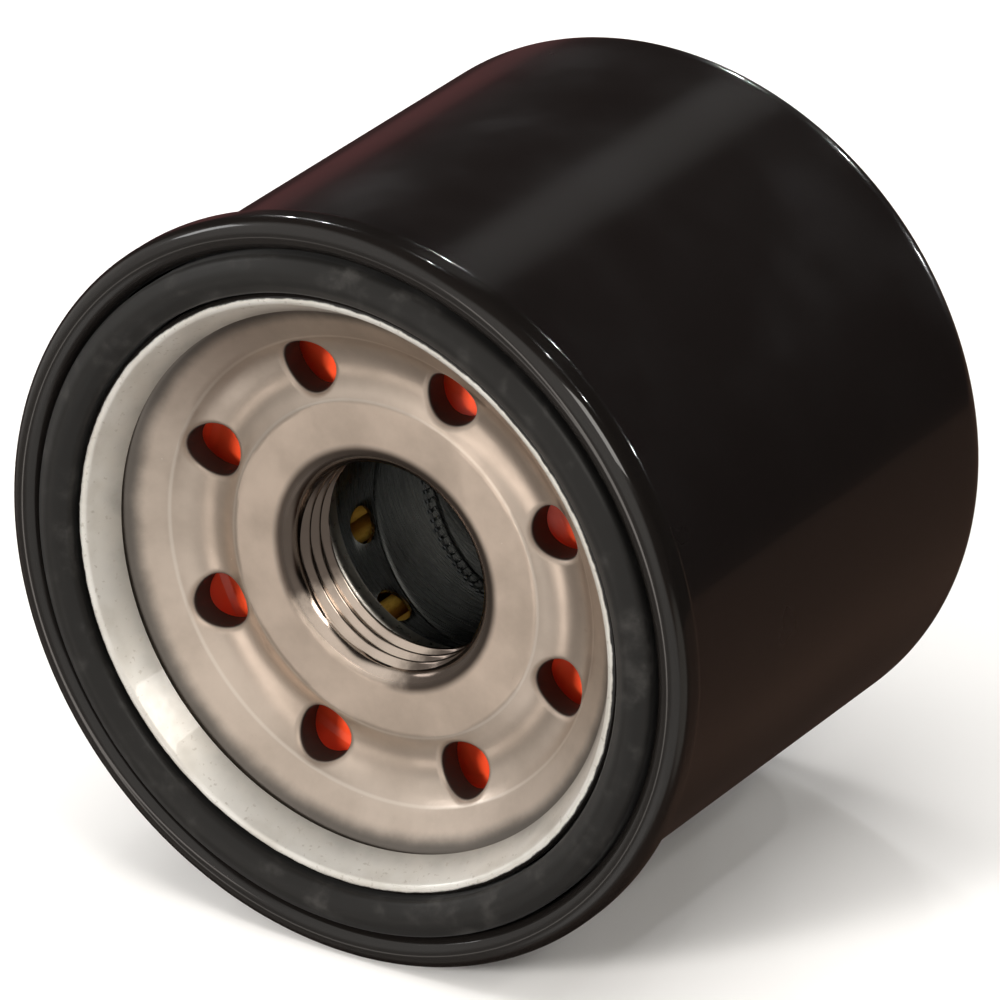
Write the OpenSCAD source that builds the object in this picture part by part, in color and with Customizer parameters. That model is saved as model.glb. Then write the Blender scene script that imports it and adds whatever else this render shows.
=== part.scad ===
// Spin-on oil filter, lying on its side.
// The axis runs along +Y, from the gasket's sealing face at the origin towards the closed end.
// Each piece is turned or drawn about its own +Z axis first, and lay() then turns +Z to +Y.

/* [Can] */
// Outside diameter of the can's wall
can_d = 64; // [63:0.5:66]
// Length from the gasket's sealing face to the crown of the closed end
overall_len = 54.9; // [54.5:0.1:56]
// Thickness of the can's steel sheet
can_t = 0.45; // [0.35:0.01:0.45]
// Outside radius of the corner round the closed end
corner_r = 3; // [2.5:0.25:4]
// Radius of the shallow dome that closes the can
dome_r = 300; // [260:10:400]

/* [Lid and gasket] */
// Thickness of the lid's steel sheet
lid_t = 0.5; // [0.4:0.02:0.5]
// How far the gasket stands proud of the rolled seam
gasket_proud = 0.7; // [0.6:0.05:0.9]
// Depth of the lid's inner lip behind the sealing face
lip_z = 1.3; // [1.2:0.05:1.4]
// Depth of the gasket's groove floor behind the sealing face
groove_z = 4.2; // [4.1:0.05:4.3]
// Slope of the lid's inner wall, from the axis
lip_slope = 30; // [27:1:32]

/* [Base plate] */
// Nominal diameter of the stud thread
thread_d = 20; // [19.8:0.05:20]
// Pitch of the stud thread
thread_pitch = 1.5; // [1.25:0.25:1.5]
// Thickness of the base plate
plate_t = 2.5; // [2.3:0.1:2.5]
// Depth of the raised boss behind the sealing face
boss_z = 7.6; // [7.4:0.05:7.7]
// Depth of the threaded neck's far end
neck_end_z = 14; // [13.5:0.1:14]
// Number of inlet holes
inlet_count = 8; // [6:1:10]
// Diameter of one inlet hole
inlet_d = 4.8; // [4:0.1:5]
// Diameter of the circle of inlet holes
inlet_pcd = 37; // [36.5:0.1:37.5]
// Angle of the first inlet hole about the axis
inlet_phase = 20.4; // [0:0.1:45]

/* [Element] */
// Depth of the element's lower end cap
element_z0 = 15.3; // [15.3:0.1:15.6]
// Depth of the outer face of the element's upper end cap
element_z1 = 47; // [46.9:0.05:47.1]
// Outside radius of the end caps
cap_r = 27.3; // [27:0.1:28]
// Thickness of the end caps' sheet
cap_t = 0.5; // [0.4:0.05:0.5]
// Depth of the bonding compound in each end cap
bond_t = 1; // [0.8:0.1:1.2]
// Number of pleats in the paper
pleat_count = 40; // [36:1:42]
// Thickness of the filter paper
paper_t = 0.45; // [0.35:0.05:0.45]
// Inside radius of the centre tube
tube_r = 11.6; // [11.5:0.05:11.6]
// Thickness of the centre tube's strip
tube_t = 0.4; // [0.3:0.05:0.4]
// Advance of the spiral strip in one turn
tube_lead = 20; // [18:0.5:21]
// Diameter of one hole in the centre tube
tube_hole_d = 3.3; // [2.8:0.1:3.6]
// Angle between neighbouring holes along the spiral
tube_hole_step = 36.4; // [36:0.2:40]

/* [Bypass valve] */
// Radius of the opening that the bypass valve closes
seat_r = 5.6; // [5.2:0.1:5.8]
// Radius of the valve's disc
disc_r = 7.8; // [7.4:0.1:7.8]
// Thickness of the sheet in the seat and the cage
bypass_t = 0.5; // [0.4:0.05:0.5]
// Number of windows in the cage
window_count = 4; // [3:1:5]
// Wire diameter of the bypass spring
wire_d = 0.8; // [0.6:0.05:0.9]
// Number of turns of the bypass spring
spring_turns = 5; // [4:0.5:5.5]

/* [Support spring] */
// Thickness of the leaf spring's strip
leaf_t = 0.6; // [0.5:0.05:0.6]
// Width of one leaf
leaf_w = 8; // [6:0.5:9]
// Number of leaves
leaf_count = 4; // [3:1:5]

/* [Hidden] */
$fn = 96;

can_r = can_d / 2;
// The rolled seam: both sheets turn over one centre at the front, and the lid turns under at the back.
seam_bend_r = 1.2;
seam_r = can_r + 0.35;
seam_z = gasket_proud + seam_bend_r + lid_t / 2;
hook_r = 0.6;
hook_z = seam_z + 1.1;
// The gasket's groove lies between the seam's inner wall and the lid's lip.
groove_outer_r = seam_r - seam_bend_r;
groove_w = 4.55;
groove_inner_r = groove_outer_r - groove_w;
groove_bend_r = 0.6;
gasket_gap = 0.2;
lip_bend_r = 0.3;
lid_back_z = groove_z + lid_t;
// The thread's minor radius, which is the plain wall of the bore here.
bore_r = thread_d / 2 - 0.54127 * thread_pitch;
neck_r = thread_d / 2 + 2;
entry_r = 1.8;
plate_r = groove_outer_r - 0.85;
// Radii at which the plate turns from flat to cone, and from cone to channel.
cone_r = groove_outer_r - 6.45;
channel_r = 21.3;
channel_depth = 2.1;
channel_floor_r = 17.4;
boss_r = 15.2;
// Pieces of the element between its two caps, whose outer flanges are flange_h high.
flange_h = 3;
bond0_z = element_z0 + cap_t;
bond1_z = element_z1 - cap_t;
paper_z0 = bond0_z + bond_t;
paper_z1 = bond1_z - bond_t;
paper_in_r = 13.1;
paper_out_r = 26;
fold_w = 0.8;
seam_gap = 5;
end_gap = 0.27;
end_r = 20;
clip_t = 0.35;
clip_r = 15;
// The bypass valve hangs in the upper cap, inside the centre tube.
port_r = 9.6;
seat_z = element_z1 - 2;
seal_t = 0.9;
disc_t = 0.6;
play = 0.05;
disc_z = seat_z - play - seal_t;
cage_r = 8.9;
cage_floor_z = element_z1 - 12;
vent_r = 2;
window_w = 5.5;
window_h = 6;
spring_r = 4.6;
spigot_r = 3.4;
spigot_h = 0.8;
rivet_r = 1.45;
rivet_foot_z = disc_z - disc_t - spigot_h;
// The first hole of the centre tube, and the spiral's depth at angle zero.
tube_hole_z = 18.65;
tube_hole_angle = 123.2;

// Points on an arc about c, from angle a0 to a1
function arc(c, r, a0, a1, n) =
    [for (i = [0:n]) c + r * [cos(a0 + (a1 - a0) * i / n), sin(a0 + (a1 - a0) * i / n)]];

// Centre of the circle through three points
function circle_centre(p, q, s) =
    let (d = 2 * (p.x * (q.y - s.y) + q.x * (s.y - p.y) + s.x * (p.y - q.y)))
    let (pp = p * p, qq = q * q, ss = s * s)
    [(pp * (q.y - s.y) + qq * (s.y - p.y) + ss * (p.y - q.y)) / d,
     (pp * (s.x - q.x) + qq * (p.x - s.x) + ss * (q.x - p.x)) / d];

function angle_of(v) = atan2(v.y, v.x);

// Points on the arc from p through q to s
function arc_through(p, q, s, n) =
    let (c = circle_centre(p, q, s))
    arc(c, norm(p - c), angle_of(p - c), angle_of(s - c), n);

function unit(v) = v / norm(v);

function turned(v) = [-v.y, v.x];

// Mitred offset of point i of a path, to the path's left by t
function offset_point(path, i, t) =
    let (n = len(path) - 1)
    let (a = unit(path[max(i, 1)] - path[max(i, 1) - 1]))
    let (b = unit(path[min(i, n - 1) + 1] - path[min(i, n - 1)]))
    let (m = unit(turned(a) + turned(b)))
    path[i] + m * t / (m * turned(a));

// Closed outline of a sheet of thickness t whose middle line is path
function sheet_outline(path, t) =
    let (n = len(path) - 1)
    concat([for (i = [0:n]) offset_point(path, i, t / 2)],
        [for (i = [n:-1:0]) offset_point(path, i, -t / 2)]);

// Keeps an outline on the axis's outer side
function right_of_axis(points) = [for (p = points) [max(0, p.x), p.y]];

function polar(r, a) = [r * cos(a), r * sin(a)];

module lay() {
    rotate([-90, 0, 0])
        children();
}

module turned_sheet(path, t) {
    rotate_extrude()
        polygon(right_of_axis(sheet_outline(path, t)));
}

module ring(r_in, r_out, z0, z1) {
    translate([0, 0, z0])
        difference() {
            cylinder(r = r_out, h = z1 - z0);
            translate([0, 0, -1])
                cylinder(r = r_in, h = z1 - z0 + 2);
        }
}

// The drawn can: hooked edge, straight wall, rounded corner and shallow dome
module shell() {
    wall_r = can_r - can_t / 2;
    dome_z = overall_len - dome_r;
    corner = [can_r - corner_r, dome_z + sqrt(pow(dome_r - corner_r, 2) - pow(can_r - corner_r, 2))];
    join_angle = angle_of(corner - [0, dome_z]);
    path = concat(
        [[2 * seam_r - wall_r, hook_z - 0.15]],
        arc([seam_r, seam_z], seam_r - wall_r, 0, -180, 12),
        arc(corner, corner_r - can_t / 2, 0, join_angle, 10),
        [for (a = [join_angle + 1:1:89]) [0, dome_z] + (dome_r - can_t / 2) * [cos(a), sin(a)]],
        [[0, overall_len - can_t / 2]]
    );
    color([0.03, 0.03, 0.035])
        lay()
            turned_sheet(path, can_t);
}

// The lid: rolled with the can's edge, then the gasket's groove and the inner lip's sloping wall
module seaming_lid() {
    in_r = groove_inner_r + lid_t / 2;
    floor_z = groove_z + lid_t / 2;
    lip = [in_r - lip_bend_r, lip_z + lip_bend_r + lid_t / 2];
    slope = [-sin(lip_slope), cos(lip_slope)];
    slope_start = lip - lip_bend_r * [cos(lip_slope), sin(lip_slope)];
    path = concat(
        [[seam_r, seam_z + 0.15]],
        arc([seam_r + hook_r, hook_z], hook_r, 180, 0, 8),
        arc([seam_r, seam_z], seam_bend_r, 0, -180, 16),
        arc([groove_outer_r - groove_bend_r, floor_z - groove_bend_r], groove_bend_r, 0, 90, 6),
        arc([in_r + groove_bend_r, floor_z - groove_bend_r], groove_bend_r, 90, 180, 6),
        arc(lip, lip_bend_r, 0, -180 + lip_slope, 8),
        [slope_start + slope * (floor_z - 0.05 - slope_start.y) / slope.y]
    );
    color([0.62, 0.58, 0.52])
        lay()
            turned_sheet(path, lid_t);
}

// Sealing compound in the fold between the lid and the can's edge
module seam_compound() {
    film_t = 0.11;
    fold_r = seam_bend_r - 0.325;
    leg_z = seam_z + 0.75;
    path = concat(
        [[seam_r - fold_r, leg_z]],
        arc([seam_r, seam_z], fold_r, 180, 360, 12),
        [[seam_r + fold_r, leg_z]]
    );
    color([0.45, 0.42, 0.36])
        lay()
            turned_sheet(path, film_t);
}

// Square-section gasket with rounded edges
module gasket() {
    r0 = groove_inner_r + lid_t + gasket_gap;
    r1 = groove_outer_r - lid_t / 2 - gasket_gap;
    round_r = 0.7;
    foot_r = 0.5;
    points = concat(
        arc([r0 + round_r, round_r], round_r, 180, 270, 6),
        arc([r1 - round_r, round_r], round_r, 270, 360, 6),
        arc([r1 - foot_r, groove_z - foot_r], foot_r, 0, 90, 4),
        arc([r0 + foot_r, groove_z - foot_r], foot_r, 90, 180, 4)
    );
    color([0.09, 0.09, 0.095])
        lay()
            rotate_extrude()
                polygon(points);
}

// Pressed plate with a ring of inlet holes in a shallow channel, and a threaded neck
module base_plate() {
    channel_z = lid_back_z + channel_depth;
    back_z = boss_z + plate_t;
    front = concat(
        [[plate_r, lid_back_z], [cone_r, lid_back_z]],
        arc_through([channel_r, channel_z], [channel_floor_r, boss_z + 0.6],
            [boss_r + 0.4, boss_z + 0.12], 8),
        [[boss_r, boss_z]],
        arc([bore_r + entry_r, boss_z + entry_r], entry_r, 270, 180, 8)
    );
    back = [
        [bore_r, neck_end_z],
        [neck_r, neck_end_z],
        [neck_r, back_z + 0.9],
        [neck_r + 1, back_z],
        [boss_r + 0.4, back_z],
        [channel_floor_r, back_z + 0.5],
        [channel_r + 1.1, channel_z + 2.2],
        [cone_r + 0.7, lid_back_z + plate_t],
        [plate_r, lid_back_z + plate_t]
    ];
    color([0.66, 0.6, 0.54])
        lay()
            difference() {
                rotate_extrude()
                    polygon(concat(front, back));
                for (k = [0:inlet_count - 1])
                    rotate([0, 0, inlet_phase + k * 360 / inlet_count])
                        translate([inlet_pcd / 2, 0, lid_back_z])
                            cylinder(d = inlet_d, h = 3 * plate_t, $fn = 48);
            }
}

// Rubber check valve: a thick collar round the neck, and a thin dished skirt over the inlet holes
module anti_drain_valve() {
    collar_r = neck_r + 0.3;
    wall_r = collar_r + 2.2;
    back_z = boss_z + plate_t;
    collar_end_z = element_z0 - 0.3;
    // The dish's floor lies behind the holes, and the lip comes forward again outside them.
    floor_z = back_z + 2.45;
    floor_in_r = wall_r + 2.6;
    lip_r = inlet_pcd / 2 + inlet_d;
    floor_out_r = lip_r - 1.9;
    lip_end_z = back_z - 0.25;
    skirt_t = 0.85;
    points = [
        [collar_r, back_z + 1.3],
        [collar_r, collar_end_z],
        [collar_r + 2.1, collar_end_z],
        [collar_r + 2.5, collar_end_z - 1.1],
        [floor_in_r - 0.5, floor_z + skirt_t],
        [floor_out_r + 0.7, floor_z + skirt_t],
        [lip_r + 0.3, lip_end_z],
        [lip_r + 0.3, lip_end_z - 0.45],
        [lip_r - 0.1, lip_end_z - 0.85],
        [floor_out_r, floor_z - 0.35],
        [floor_out_r - 0.6, floor_z],
        [floor_in_r, floor_z],
        [floor_in_r - 0.9, floor_z - 0.3],
        [wall_r, back_z + 0.9],
        [wall_r - 0.3, back_z + 0.35],
        [collar_r + 1, back_z + 0.35]
    ];
    color([0.85, 0.24, 0.08])
        lay()
            rotate_extrude()
                polygon(points);
}

// Cap at the plate's end: an outer flange, and a short inner flange with a rounded mouth
module lower_end_cap() {
    z = element_z0;
    flange_r = tube_r - play;
    bend_r = 0.8;
    points = concat(
        arc([flange_r - cap_t + bend_r, z + bend_r], bend_r, 180, 270, 6),
        [[cap_r, z], [cap_r, z + flange_h]],
        [[cap_r - cap_t, z + flange_h], [cap_r - cap_t, z + cap_t]],
        [[flange_r, z + cap_t], [flange_r, z + 1.7], [flange_r - cap_t, z + 1.7]]
    );
    color([0.7, 0.68, 0.62])
        lay()
            rotate_extrude()
                polygon(points);
}

// Compound that bonds the paper into the lower cap
module lower_bond() {
    color([0.82, 0.74, 0.55])
        lay()
            ring(tube_r + tube_t + play, cap_r - cap_t - play, bond0_z, paper_z0);
}

// One strip of paper, folded to and fro round the centre tube, with its two ends side by side
module pleated_media() {
    step = (360 - seam_gap) / pleat_count;
    in_half = asin(fold_w / 2 / paper_in_r);
    out_half = asin(fold_w / 2 / paper_out_r);
    folds = [for (k = [0:pleat_count - 1])
        let (a = seam_gap / 2 + (k + 0.5) * step)
        each [polar(paper_in_r, a - step / 2 + in_half), polar(paper_out_r, a - out_half),
            polar(paper_out_r, a + out_half), polar(paper_in_r, a + step / 2 - in_half)]];
    path = concat([[end_r, end_gap], [paper_in_r, end_gap]], folds,
        [[paper_in_r, -end_gap], [end_r, -end_gap]]);
    color([0.86, 0.66, 0.28])
        lay()
            translate([0, 0, paper_z0])
                linear_extrude(paper_z1 - paper_z0)
                    polygon(sheet_outline(path, paper_t));
}

// Folded steel strip that grips the paper's two ends
module media_seam_clip() {
    inner_y = end_gap + paper_t / 2 + play;
    outer_y = inner_y + clip_t;
    fold_r = end_r + 0.3;
    paper_h = paper_z1 - paper_z0;
    color([0.75, 0.75, 0.76])
        lay()
            translate([0, 0, paper_z0 + 0.1])
                difference() {
                    translate([clip_r, -outer_y, 0])
                        cube([fold_r + clip_t - clip_r, 2 * outer_y, paper_h - 0.2]);
                    translate([clip_r - 1, -inner_y, -1])
                        cube([fold_r - clip_r + 1, 2 * inner_y, paper_h + 2]);
                }
}

// Perforated tube: its holes follow the spiral of the strip that it is wound from
module centre_tube() {
    margin = tube_hole_d / 2 + bond_t + 0.1;
    step_z = tube_lead * tube_hole_step / 360;
    first = ceil((bond0_z + margin - tube_hole_z) / step_z);
    last = floor((bond1_z - margin - tube_hole_z) / step_z);
    color([0.5, 0.5, 0.52])
        lay()
            difference() {
                ring(tube_r, tube_r + tube_t, bond0_z, bond1_z);
                for (k = [first:last])
                    rotate([0, 0, tube_hole_angle + k * tube_hole_step])
                        translate([tube_r - 2, 0, tube_hole_z + k * step_z])
                            rotate([0, 90, 0])
                                cylinder(d = tube_hole_d, h = 4, $fn = 32);
            }
}

// Compound that bonds the paper into the upper cap
module upper_bond() {
    color([0.82, 0.74, 0.55])
        lay()
            ring(tube_r + tube_t + play, cap_r - cap_t - play, paper_z1, bond1_z);
}

// Cap at the closed end, with an outer flange and a port for the bypass valve
module upper_end_cap() {
    z = element_z1;
    points = [
        [port_r, z - cap_t],
        [cap_r - cap_t, z - cap_t],
        [cap_r - cap_t, z - flange_h],
        [cap_r, z - flange_h],
        [cap_r, z],
        [port_r, z]
    ];
    color([0.7, 0.68, 0.62])
        lay()
            rotate_extrude()
                polygon(points);
}

// Stamped ring set in the cap's port: a rim on top, and a turned-down lip that the seal meets
module bypass_seat() {
    wall_r = port_r - 0.2;
    plate_z = seat_z + 0.4 + bypass_t;
    points = [
        [seat_r, seat_z],
        [seat_r + bypass_t, seat_z],
        [seat_r + bypass_t, seat_z + 0.4],
        [wall_r, seat_z + 0.4],
        [wall_r, element_z1],
        [wall_r + 1.2, element_z1],
        [wall_r + 1.2, element_z1 + bypass_t],
        [wall_r - bypass_t, element_z1 + bypass_t],
        [wall_r - bypass_t, plate_z],
        [seat_r, plate_z]
    ];
    color([0.72, 0.72, 0.7])
        lay()
            rotate_extrude()
                polygon(points);
}

// Cup below the seat that guides the disc and holds the spring's foot
module bypass_cage() {
    top_z = seat_z + 0.4;
    points = [
        [vent_r, cage_floor_z],
        [cage_r, cage_floor_z],
        [cage_r, top_z - bypass_t],
        [port_r - 0.2, top_z - bypass_t],
        [port_r - 0.2, top_z],
        [cage_r - bypass_t, top_z],
        [cage_r - bypass_t, cage_floor_z + bypass_t],
        [vent_r, cage_floor_z + bypass_t]
    ];
    color([0.72, 0.72, 0.7])
        lay()
            difference() {
                rotate_extrude()
                    polygon(points);
                for (k = [0:window_count - 1])
                    rotate([0, 0, (k + 0.5) * 360 / window_count])
                        translate([cage_r - 2, -window_w / 2, cage_floor_z + 1.5])
                            cube([4, window_w, window_h]);
            }
}

// Rubber washer on the disc's face
module bypass_seal() {
    color([0.07, 0.07, 0.08])
        lay()
            ring(rivet_r + play, disc_r - 0.4, disc_z, disc_z + seal_t);
}

// Steel disc with a raised spigot that centres the spring
module bypass_disc() {
    points = [
        [rivet_r + play, disc_z],
        [disc_r, disc_z],
        [disc_r, disc_z - disc_t],
        [spigot_r, disc_z - disc_t],
        [spigot_r - 0.4, rivet_foot_z],
        [rivet_r + play, rivet_foot_z]
    ];
    color([0.74, 0.74, 0.74])
        lay()
            rotate_extrude()
                polygon(points);
}

// Rivet that clamps the seal to the disc
module bypass_rivet() {
    top_z = disc_z + seal_t;
    points = [
        [0, rivet_foot_z - 0.6],
        [1.8, rivet_foot_z - 0.6],
        [2.2, rivet_foot_z],
        [rivet_r, rivet_foot_z],
        [rivet_r, top_z],
        [2.6, top_z],
        [2.2, top_z + 0.45],
        [0, top_z + 0.6]
    ];
    color([0.8, 0.78, 0.74])
        lay()
            rotate_extrude()
                polygon(points);
}

// Coil between the cage's floor and the disc, with its end turns closed up
module bypass_spring() {
    foot = cage_floor_z + bypass_t + wire_d / 2;
    head = disc_z - disc_t - wire_d / 2;
    sides = 8;
    per_turn = 16;
    rings = round(spring_turns * per_turn);
    // Height along the coil: nearly flat over the end turns, and even between them
    rise = function (u)
        let (dead = 0.8 / spring_turns, slow = wire_d * 1.02 * spring_turns * dead)
        u < dead ? slow * u / dead
        : u > 1 - dead ? head - foot - slow * (1 - u) / dead
        : slow + (head - foot - 2 * slow) * (u - dead) / (1 - 2 * dead);
    points = [for (i = [0:rings], j = [0:sides - 1])
        let (a = 360 * i / per_turn, b = 360 * j / sides, r = spring_r + wire_d / 2 * cos(b))
        [r * cos(a), r * sin(a), foot + rise(i / rings) + wire_d / 2 * sin(b)]];
    walls = [for (i = [0:rings - 1], j = [0:sides - 1])
        let (a = i * sides, n = (j + 1) % sides)
        [a + j, a + sides + j, a + sides + n, a + n]];
    start_cap = [for (j = [0:sides - 1]) j];
    end_cap = [for (j = [sides - 1:-1:0]) rings * sides + j];
    color([0.6, 0.6, 0.62])
        lay()
            polyhedron(points, concat(walls, [start_cap, end_cap]), convexity = 6);
}

// Spider spring between the upper cap and the dome: a flat ring with bowed leaves
module support_spring() {
    flat_z = element_z1 + play + leaf_t / 2;
    ring_in_r = 11.3;
    ring_out_r = 15.3;
    bend = 3;
    toe_bend = 2;
    rise = 4.2;
    knee = [17, flat_z + bend];
    knee_end = knee + bend * [cos(-45), sin(-45)];
    toe = knee_end + [rise, rise] + toe_bend * [cos(-45), sin(-45)];
    path = concat([[12.5, flat_z]], arc(knee, bend, -90, -45, 5), arc(toe, toe_bend, 135, 60, 6));
    color([0.45, 0.46, 0.5])
        lay()
            union() {
                ring(ring_in_r, ring_out_r, flat_z - leaf_t / 2, flat_z + leaf_t / 2);
                for (k = [0:leaf_count - 1])
                    rotate([0, 0, (k + 0.5) * 360 / leaf_count])
                        rotate([90, 0, 0])
                            linear_extrude(leaf_w, center = true)
                                polygon(sheet_outline(path, leaf_t));
            }
}

shell();
seaming_lid();
seam_compound();
gasket();
base_plate();
anti_drain_valve();
lower_end_cap();
lower_bond();
pleated_media();
media_seam_clip();
centre_tube();
upper_bond();
upper_end_cap();
bypass_seat();
bypass_cage();
bypass_seal();
bypass_disc();
bypass_rivet();
bypass_spring();
support_spring();
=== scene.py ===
import math

import bmesh
import bpy
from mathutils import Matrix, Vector


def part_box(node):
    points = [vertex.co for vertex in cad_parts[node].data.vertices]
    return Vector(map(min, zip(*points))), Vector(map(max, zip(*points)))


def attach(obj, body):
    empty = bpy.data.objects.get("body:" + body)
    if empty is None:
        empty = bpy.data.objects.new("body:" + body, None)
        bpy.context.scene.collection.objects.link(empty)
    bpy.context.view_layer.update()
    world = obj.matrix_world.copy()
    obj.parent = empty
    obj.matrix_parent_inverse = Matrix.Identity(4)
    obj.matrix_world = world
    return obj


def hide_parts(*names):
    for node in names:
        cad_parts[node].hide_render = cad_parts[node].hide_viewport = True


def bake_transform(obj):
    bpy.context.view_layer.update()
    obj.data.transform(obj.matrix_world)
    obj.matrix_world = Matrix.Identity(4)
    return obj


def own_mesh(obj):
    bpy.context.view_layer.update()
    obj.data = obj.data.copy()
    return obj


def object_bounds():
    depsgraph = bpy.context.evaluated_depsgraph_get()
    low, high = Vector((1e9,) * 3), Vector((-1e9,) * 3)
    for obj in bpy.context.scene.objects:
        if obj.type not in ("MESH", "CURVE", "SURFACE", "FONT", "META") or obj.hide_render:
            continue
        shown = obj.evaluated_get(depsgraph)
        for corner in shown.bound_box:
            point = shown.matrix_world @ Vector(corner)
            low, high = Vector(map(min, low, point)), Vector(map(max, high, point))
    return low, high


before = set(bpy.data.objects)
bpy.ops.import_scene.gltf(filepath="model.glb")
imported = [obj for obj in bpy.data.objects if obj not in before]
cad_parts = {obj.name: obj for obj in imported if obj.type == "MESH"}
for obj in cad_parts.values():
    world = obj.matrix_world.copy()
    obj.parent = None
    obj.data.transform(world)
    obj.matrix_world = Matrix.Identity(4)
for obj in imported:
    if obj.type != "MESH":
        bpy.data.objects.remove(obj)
cad_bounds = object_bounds()

# Lengths below are in millimetres, and angles in degrees, until a mesh is built.
# A turned piece's outline is a list of (radius, depth), and depth runs along +Y from the gasket's face.
MM = 0.001
TURN_STEPS = 256


def span(node):
    """A turned CAD node's outer radius, nearest depth and farthest depth."""
    low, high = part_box(node)
    return high.x / MM, low.y / MM, high.y / MM


LID_R, LID_FRONT, LID_BACK = span("seaming_lid")
PLATE_R, PLATE_FRONT, PLATE_BACK = span("base_plate")
CROWN = span("shell")[2]
TUBE_OUT_R, TUBE_NEAR, TUBE_FAR = span("centre_tube")
CAP_R, CAP_NEAR, _ = span("lower_end_cap")
CAP_FAR = span("upper_end_cap")[2]
PAPER_NEAR, PAPER_FAR = span("pleated_media")[1:]
GASKET_R, GASKET_FRONT, GASKET_BACK = span("gasket")
VALVE_R, VALVE_NEAR, VALVE_FAR = span("anti_drain_valve")
DISC_R, DISC_NEAR, DISC_FAR = span("bypass_disc")
SEAL_R, SEAL_NEAR, SEAL_FAR = span("bypass_seal")
CAGE_R, CAGE_NEAR, CAGE_FAR = span("bypass_cage")
SEAT_R, SEAT_NEAR, SEAT_FAR = span("bypass_seat")
RIVET_NEAR, RIVET_FAR = span("bypass_rivet")[1:]
SPRING_NEAR, SPRING_FAR = span("bypass_spring")[1:]
LEAF_NEAR, LEAF_FAR = span("support_spring")[1:]
RIM_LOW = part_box("seaming_lid")[0].z

# The rolled seam, as the CAD holds it
LID_T = 0.5
CAN_T = 0.45
SEAM_BEND = 1.2
SEAM_R = LID_R - LID_T / 2 - SEAM_BEND
SEAM_DEPTH = LID_FRONT + LID_T / 2 + SEAM_BEND
CAN_R = SEAM_R - 0.35
HOOK_R = 0.6
HOOK_DEPTH = SEAM_DEPTH + 1.1
CORNER_R = 3
DOME_R = 300
LIP_BEND = 0.3
LIP_SLOPE = 30

# The plate's stud thread
THREAD_PITCH = 1.5
THREAD_ROOT_R = 10
THREAD_DEPTH = 0.54127 * THREAD_PITCH
BORE_R = THREAD_ROOT_R - THREAD_DEPTH
THREAD_START = 9.48
BOSS_DEPTH = PLATE_FRONT + 2.9
PLATE_T = 2.5
BOSS_R = 15.2
CHANNEL_R = 21.3
INLETS = 8
INLET_R = 2.4
INLET_CIRCLE_R = 18.5
INLET_PHASE = 20.4

# The spiral centre tube
TUBE_T = 0.4
TUBE_IN_R = TUBE_OUT_R - TUBE_T
TUBE_LEAD = 20
TUBE_HOLE_R = 1.65
TUBE_HOLE_STEP = 36.4
TUBE_HOLE_ANGLE = 123.2
TUBE_HOLE_DEPTH = 18.65

PLEATS = 40
SEAM_GAP = 5
PAPER_T = 0.45
WIRE_R = 0.4
COIL_R = 4.6
COIL_TURNS = 5


# Outlines

def arc(centre, radius, start, end, steps):
    """Points on an arc, from one angle to another."""
    angles = [math.radians(start + (end - start) * i / steps) for i in range(steps + 1)]
    return [(centre[0] + radius * math.cos(a), centre[1] + radius * math.sin(a)) for a in angles]


def circle_through(p, q, s):
    """Centre of the circle through three points."""
    d = 2 * (p[0] * (q[1] - s[1]) + q[0] * (s[1] - p[1]) + s[0] * (p[1] - q[1]))
    pp, qq, ss = (v[0] ** 2 + v[1] ** 2 for v in (p, q, s))
    return ((pp * (q[1] - s[1]) + qq * (s[1] - p[1]) + ss * (p[1] - q[1])) / d,
            (pp * (s[0] - q[0]) + qq * (p[0] - s[0]) + ss * (q[0] - p[0])) / d)


def angle_from(centre, point):
    return math.degrees(math.atan2(point[1] - centre[1], point[0] - centre[0]))


def arc_through(p, q, s, steps):
    """Points on the arc from p through q to s, which spans under half a turn."""
    centre = circle_through(p, q, s)
    start = angle_from(centre, p)
    swing = (angle_from(centre, s) - start + 180) % 360 - 180
    return arc(centre, math.dist(p, centre), start, start + swing, steps)


def rounded(corners, steps=4):
    """A closed outline from (radius, depth, fillet) corners. A fillet of 0 keeps the corner sharp."""
    points = []
    for i, (x, y, fillet) in enumerate(corners):
        here = Vector((x, y))
        before = Vector(corners[i - 1][:2]) - here
        after = Vector(corners[(i + 1) % len(corners)][:2]) - here
        turn = before.angle(after)
        reach = fillet / math.tan(turn / 2) if fillet else 0
        reach = min(reach, 0.49 * before.length, 0.49 * after.length)
        if reach < 1e-4:
            points.append((x, y))
            continue
        start, end = here + before.normalized() * reach, here + after.normalized() * reach
        for k in range(steps + 1):
            t = k / steps
            p = start * (1 - t) ** 2 + here * 2 * t * (1 - t) + end * t ** 2
            points.append((p.x, p.y))
    return points


def sheet(path, thickness):
    """Closed outline of a sheet whose middle line is path, with its cut ends slightly rounded."""
    sides = [[], []]
    for i, point in enumerate(path):
        a = Vector(path[max(i, 1)]) - Vector(path[max(i, 1) - 1])
        b = Vector(path[min(i, len(path) - 2) + 1]) - Vector(path[min(i, len(path) - 2)])
        left_a = Vector((-a.y, a.x)).normalized()
        left_b = Vector((-b.y, b.x)).normalized()
        mitre = (left_a + left_b).normalized()
        reach = thickness / 2 / mitre.dot(left_a)
        for side, sign in zip(sides, (1, -1)):
            p = Vector(point) + mitre * reach * sign
            side.append((max(p.x, 0.0), p.y))
    return sides[0] + sides[1][::-1]


# Mesh building

def place(radius, angle, depth):
    """A point in the row frame, in metres. Angles turn about the axis as they do in the CAD."""
    a = math.radians(angle)
    return (radius * math.cos(a) * MM, depth * MM, -radius * math.sin(a) * MM)


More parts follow.
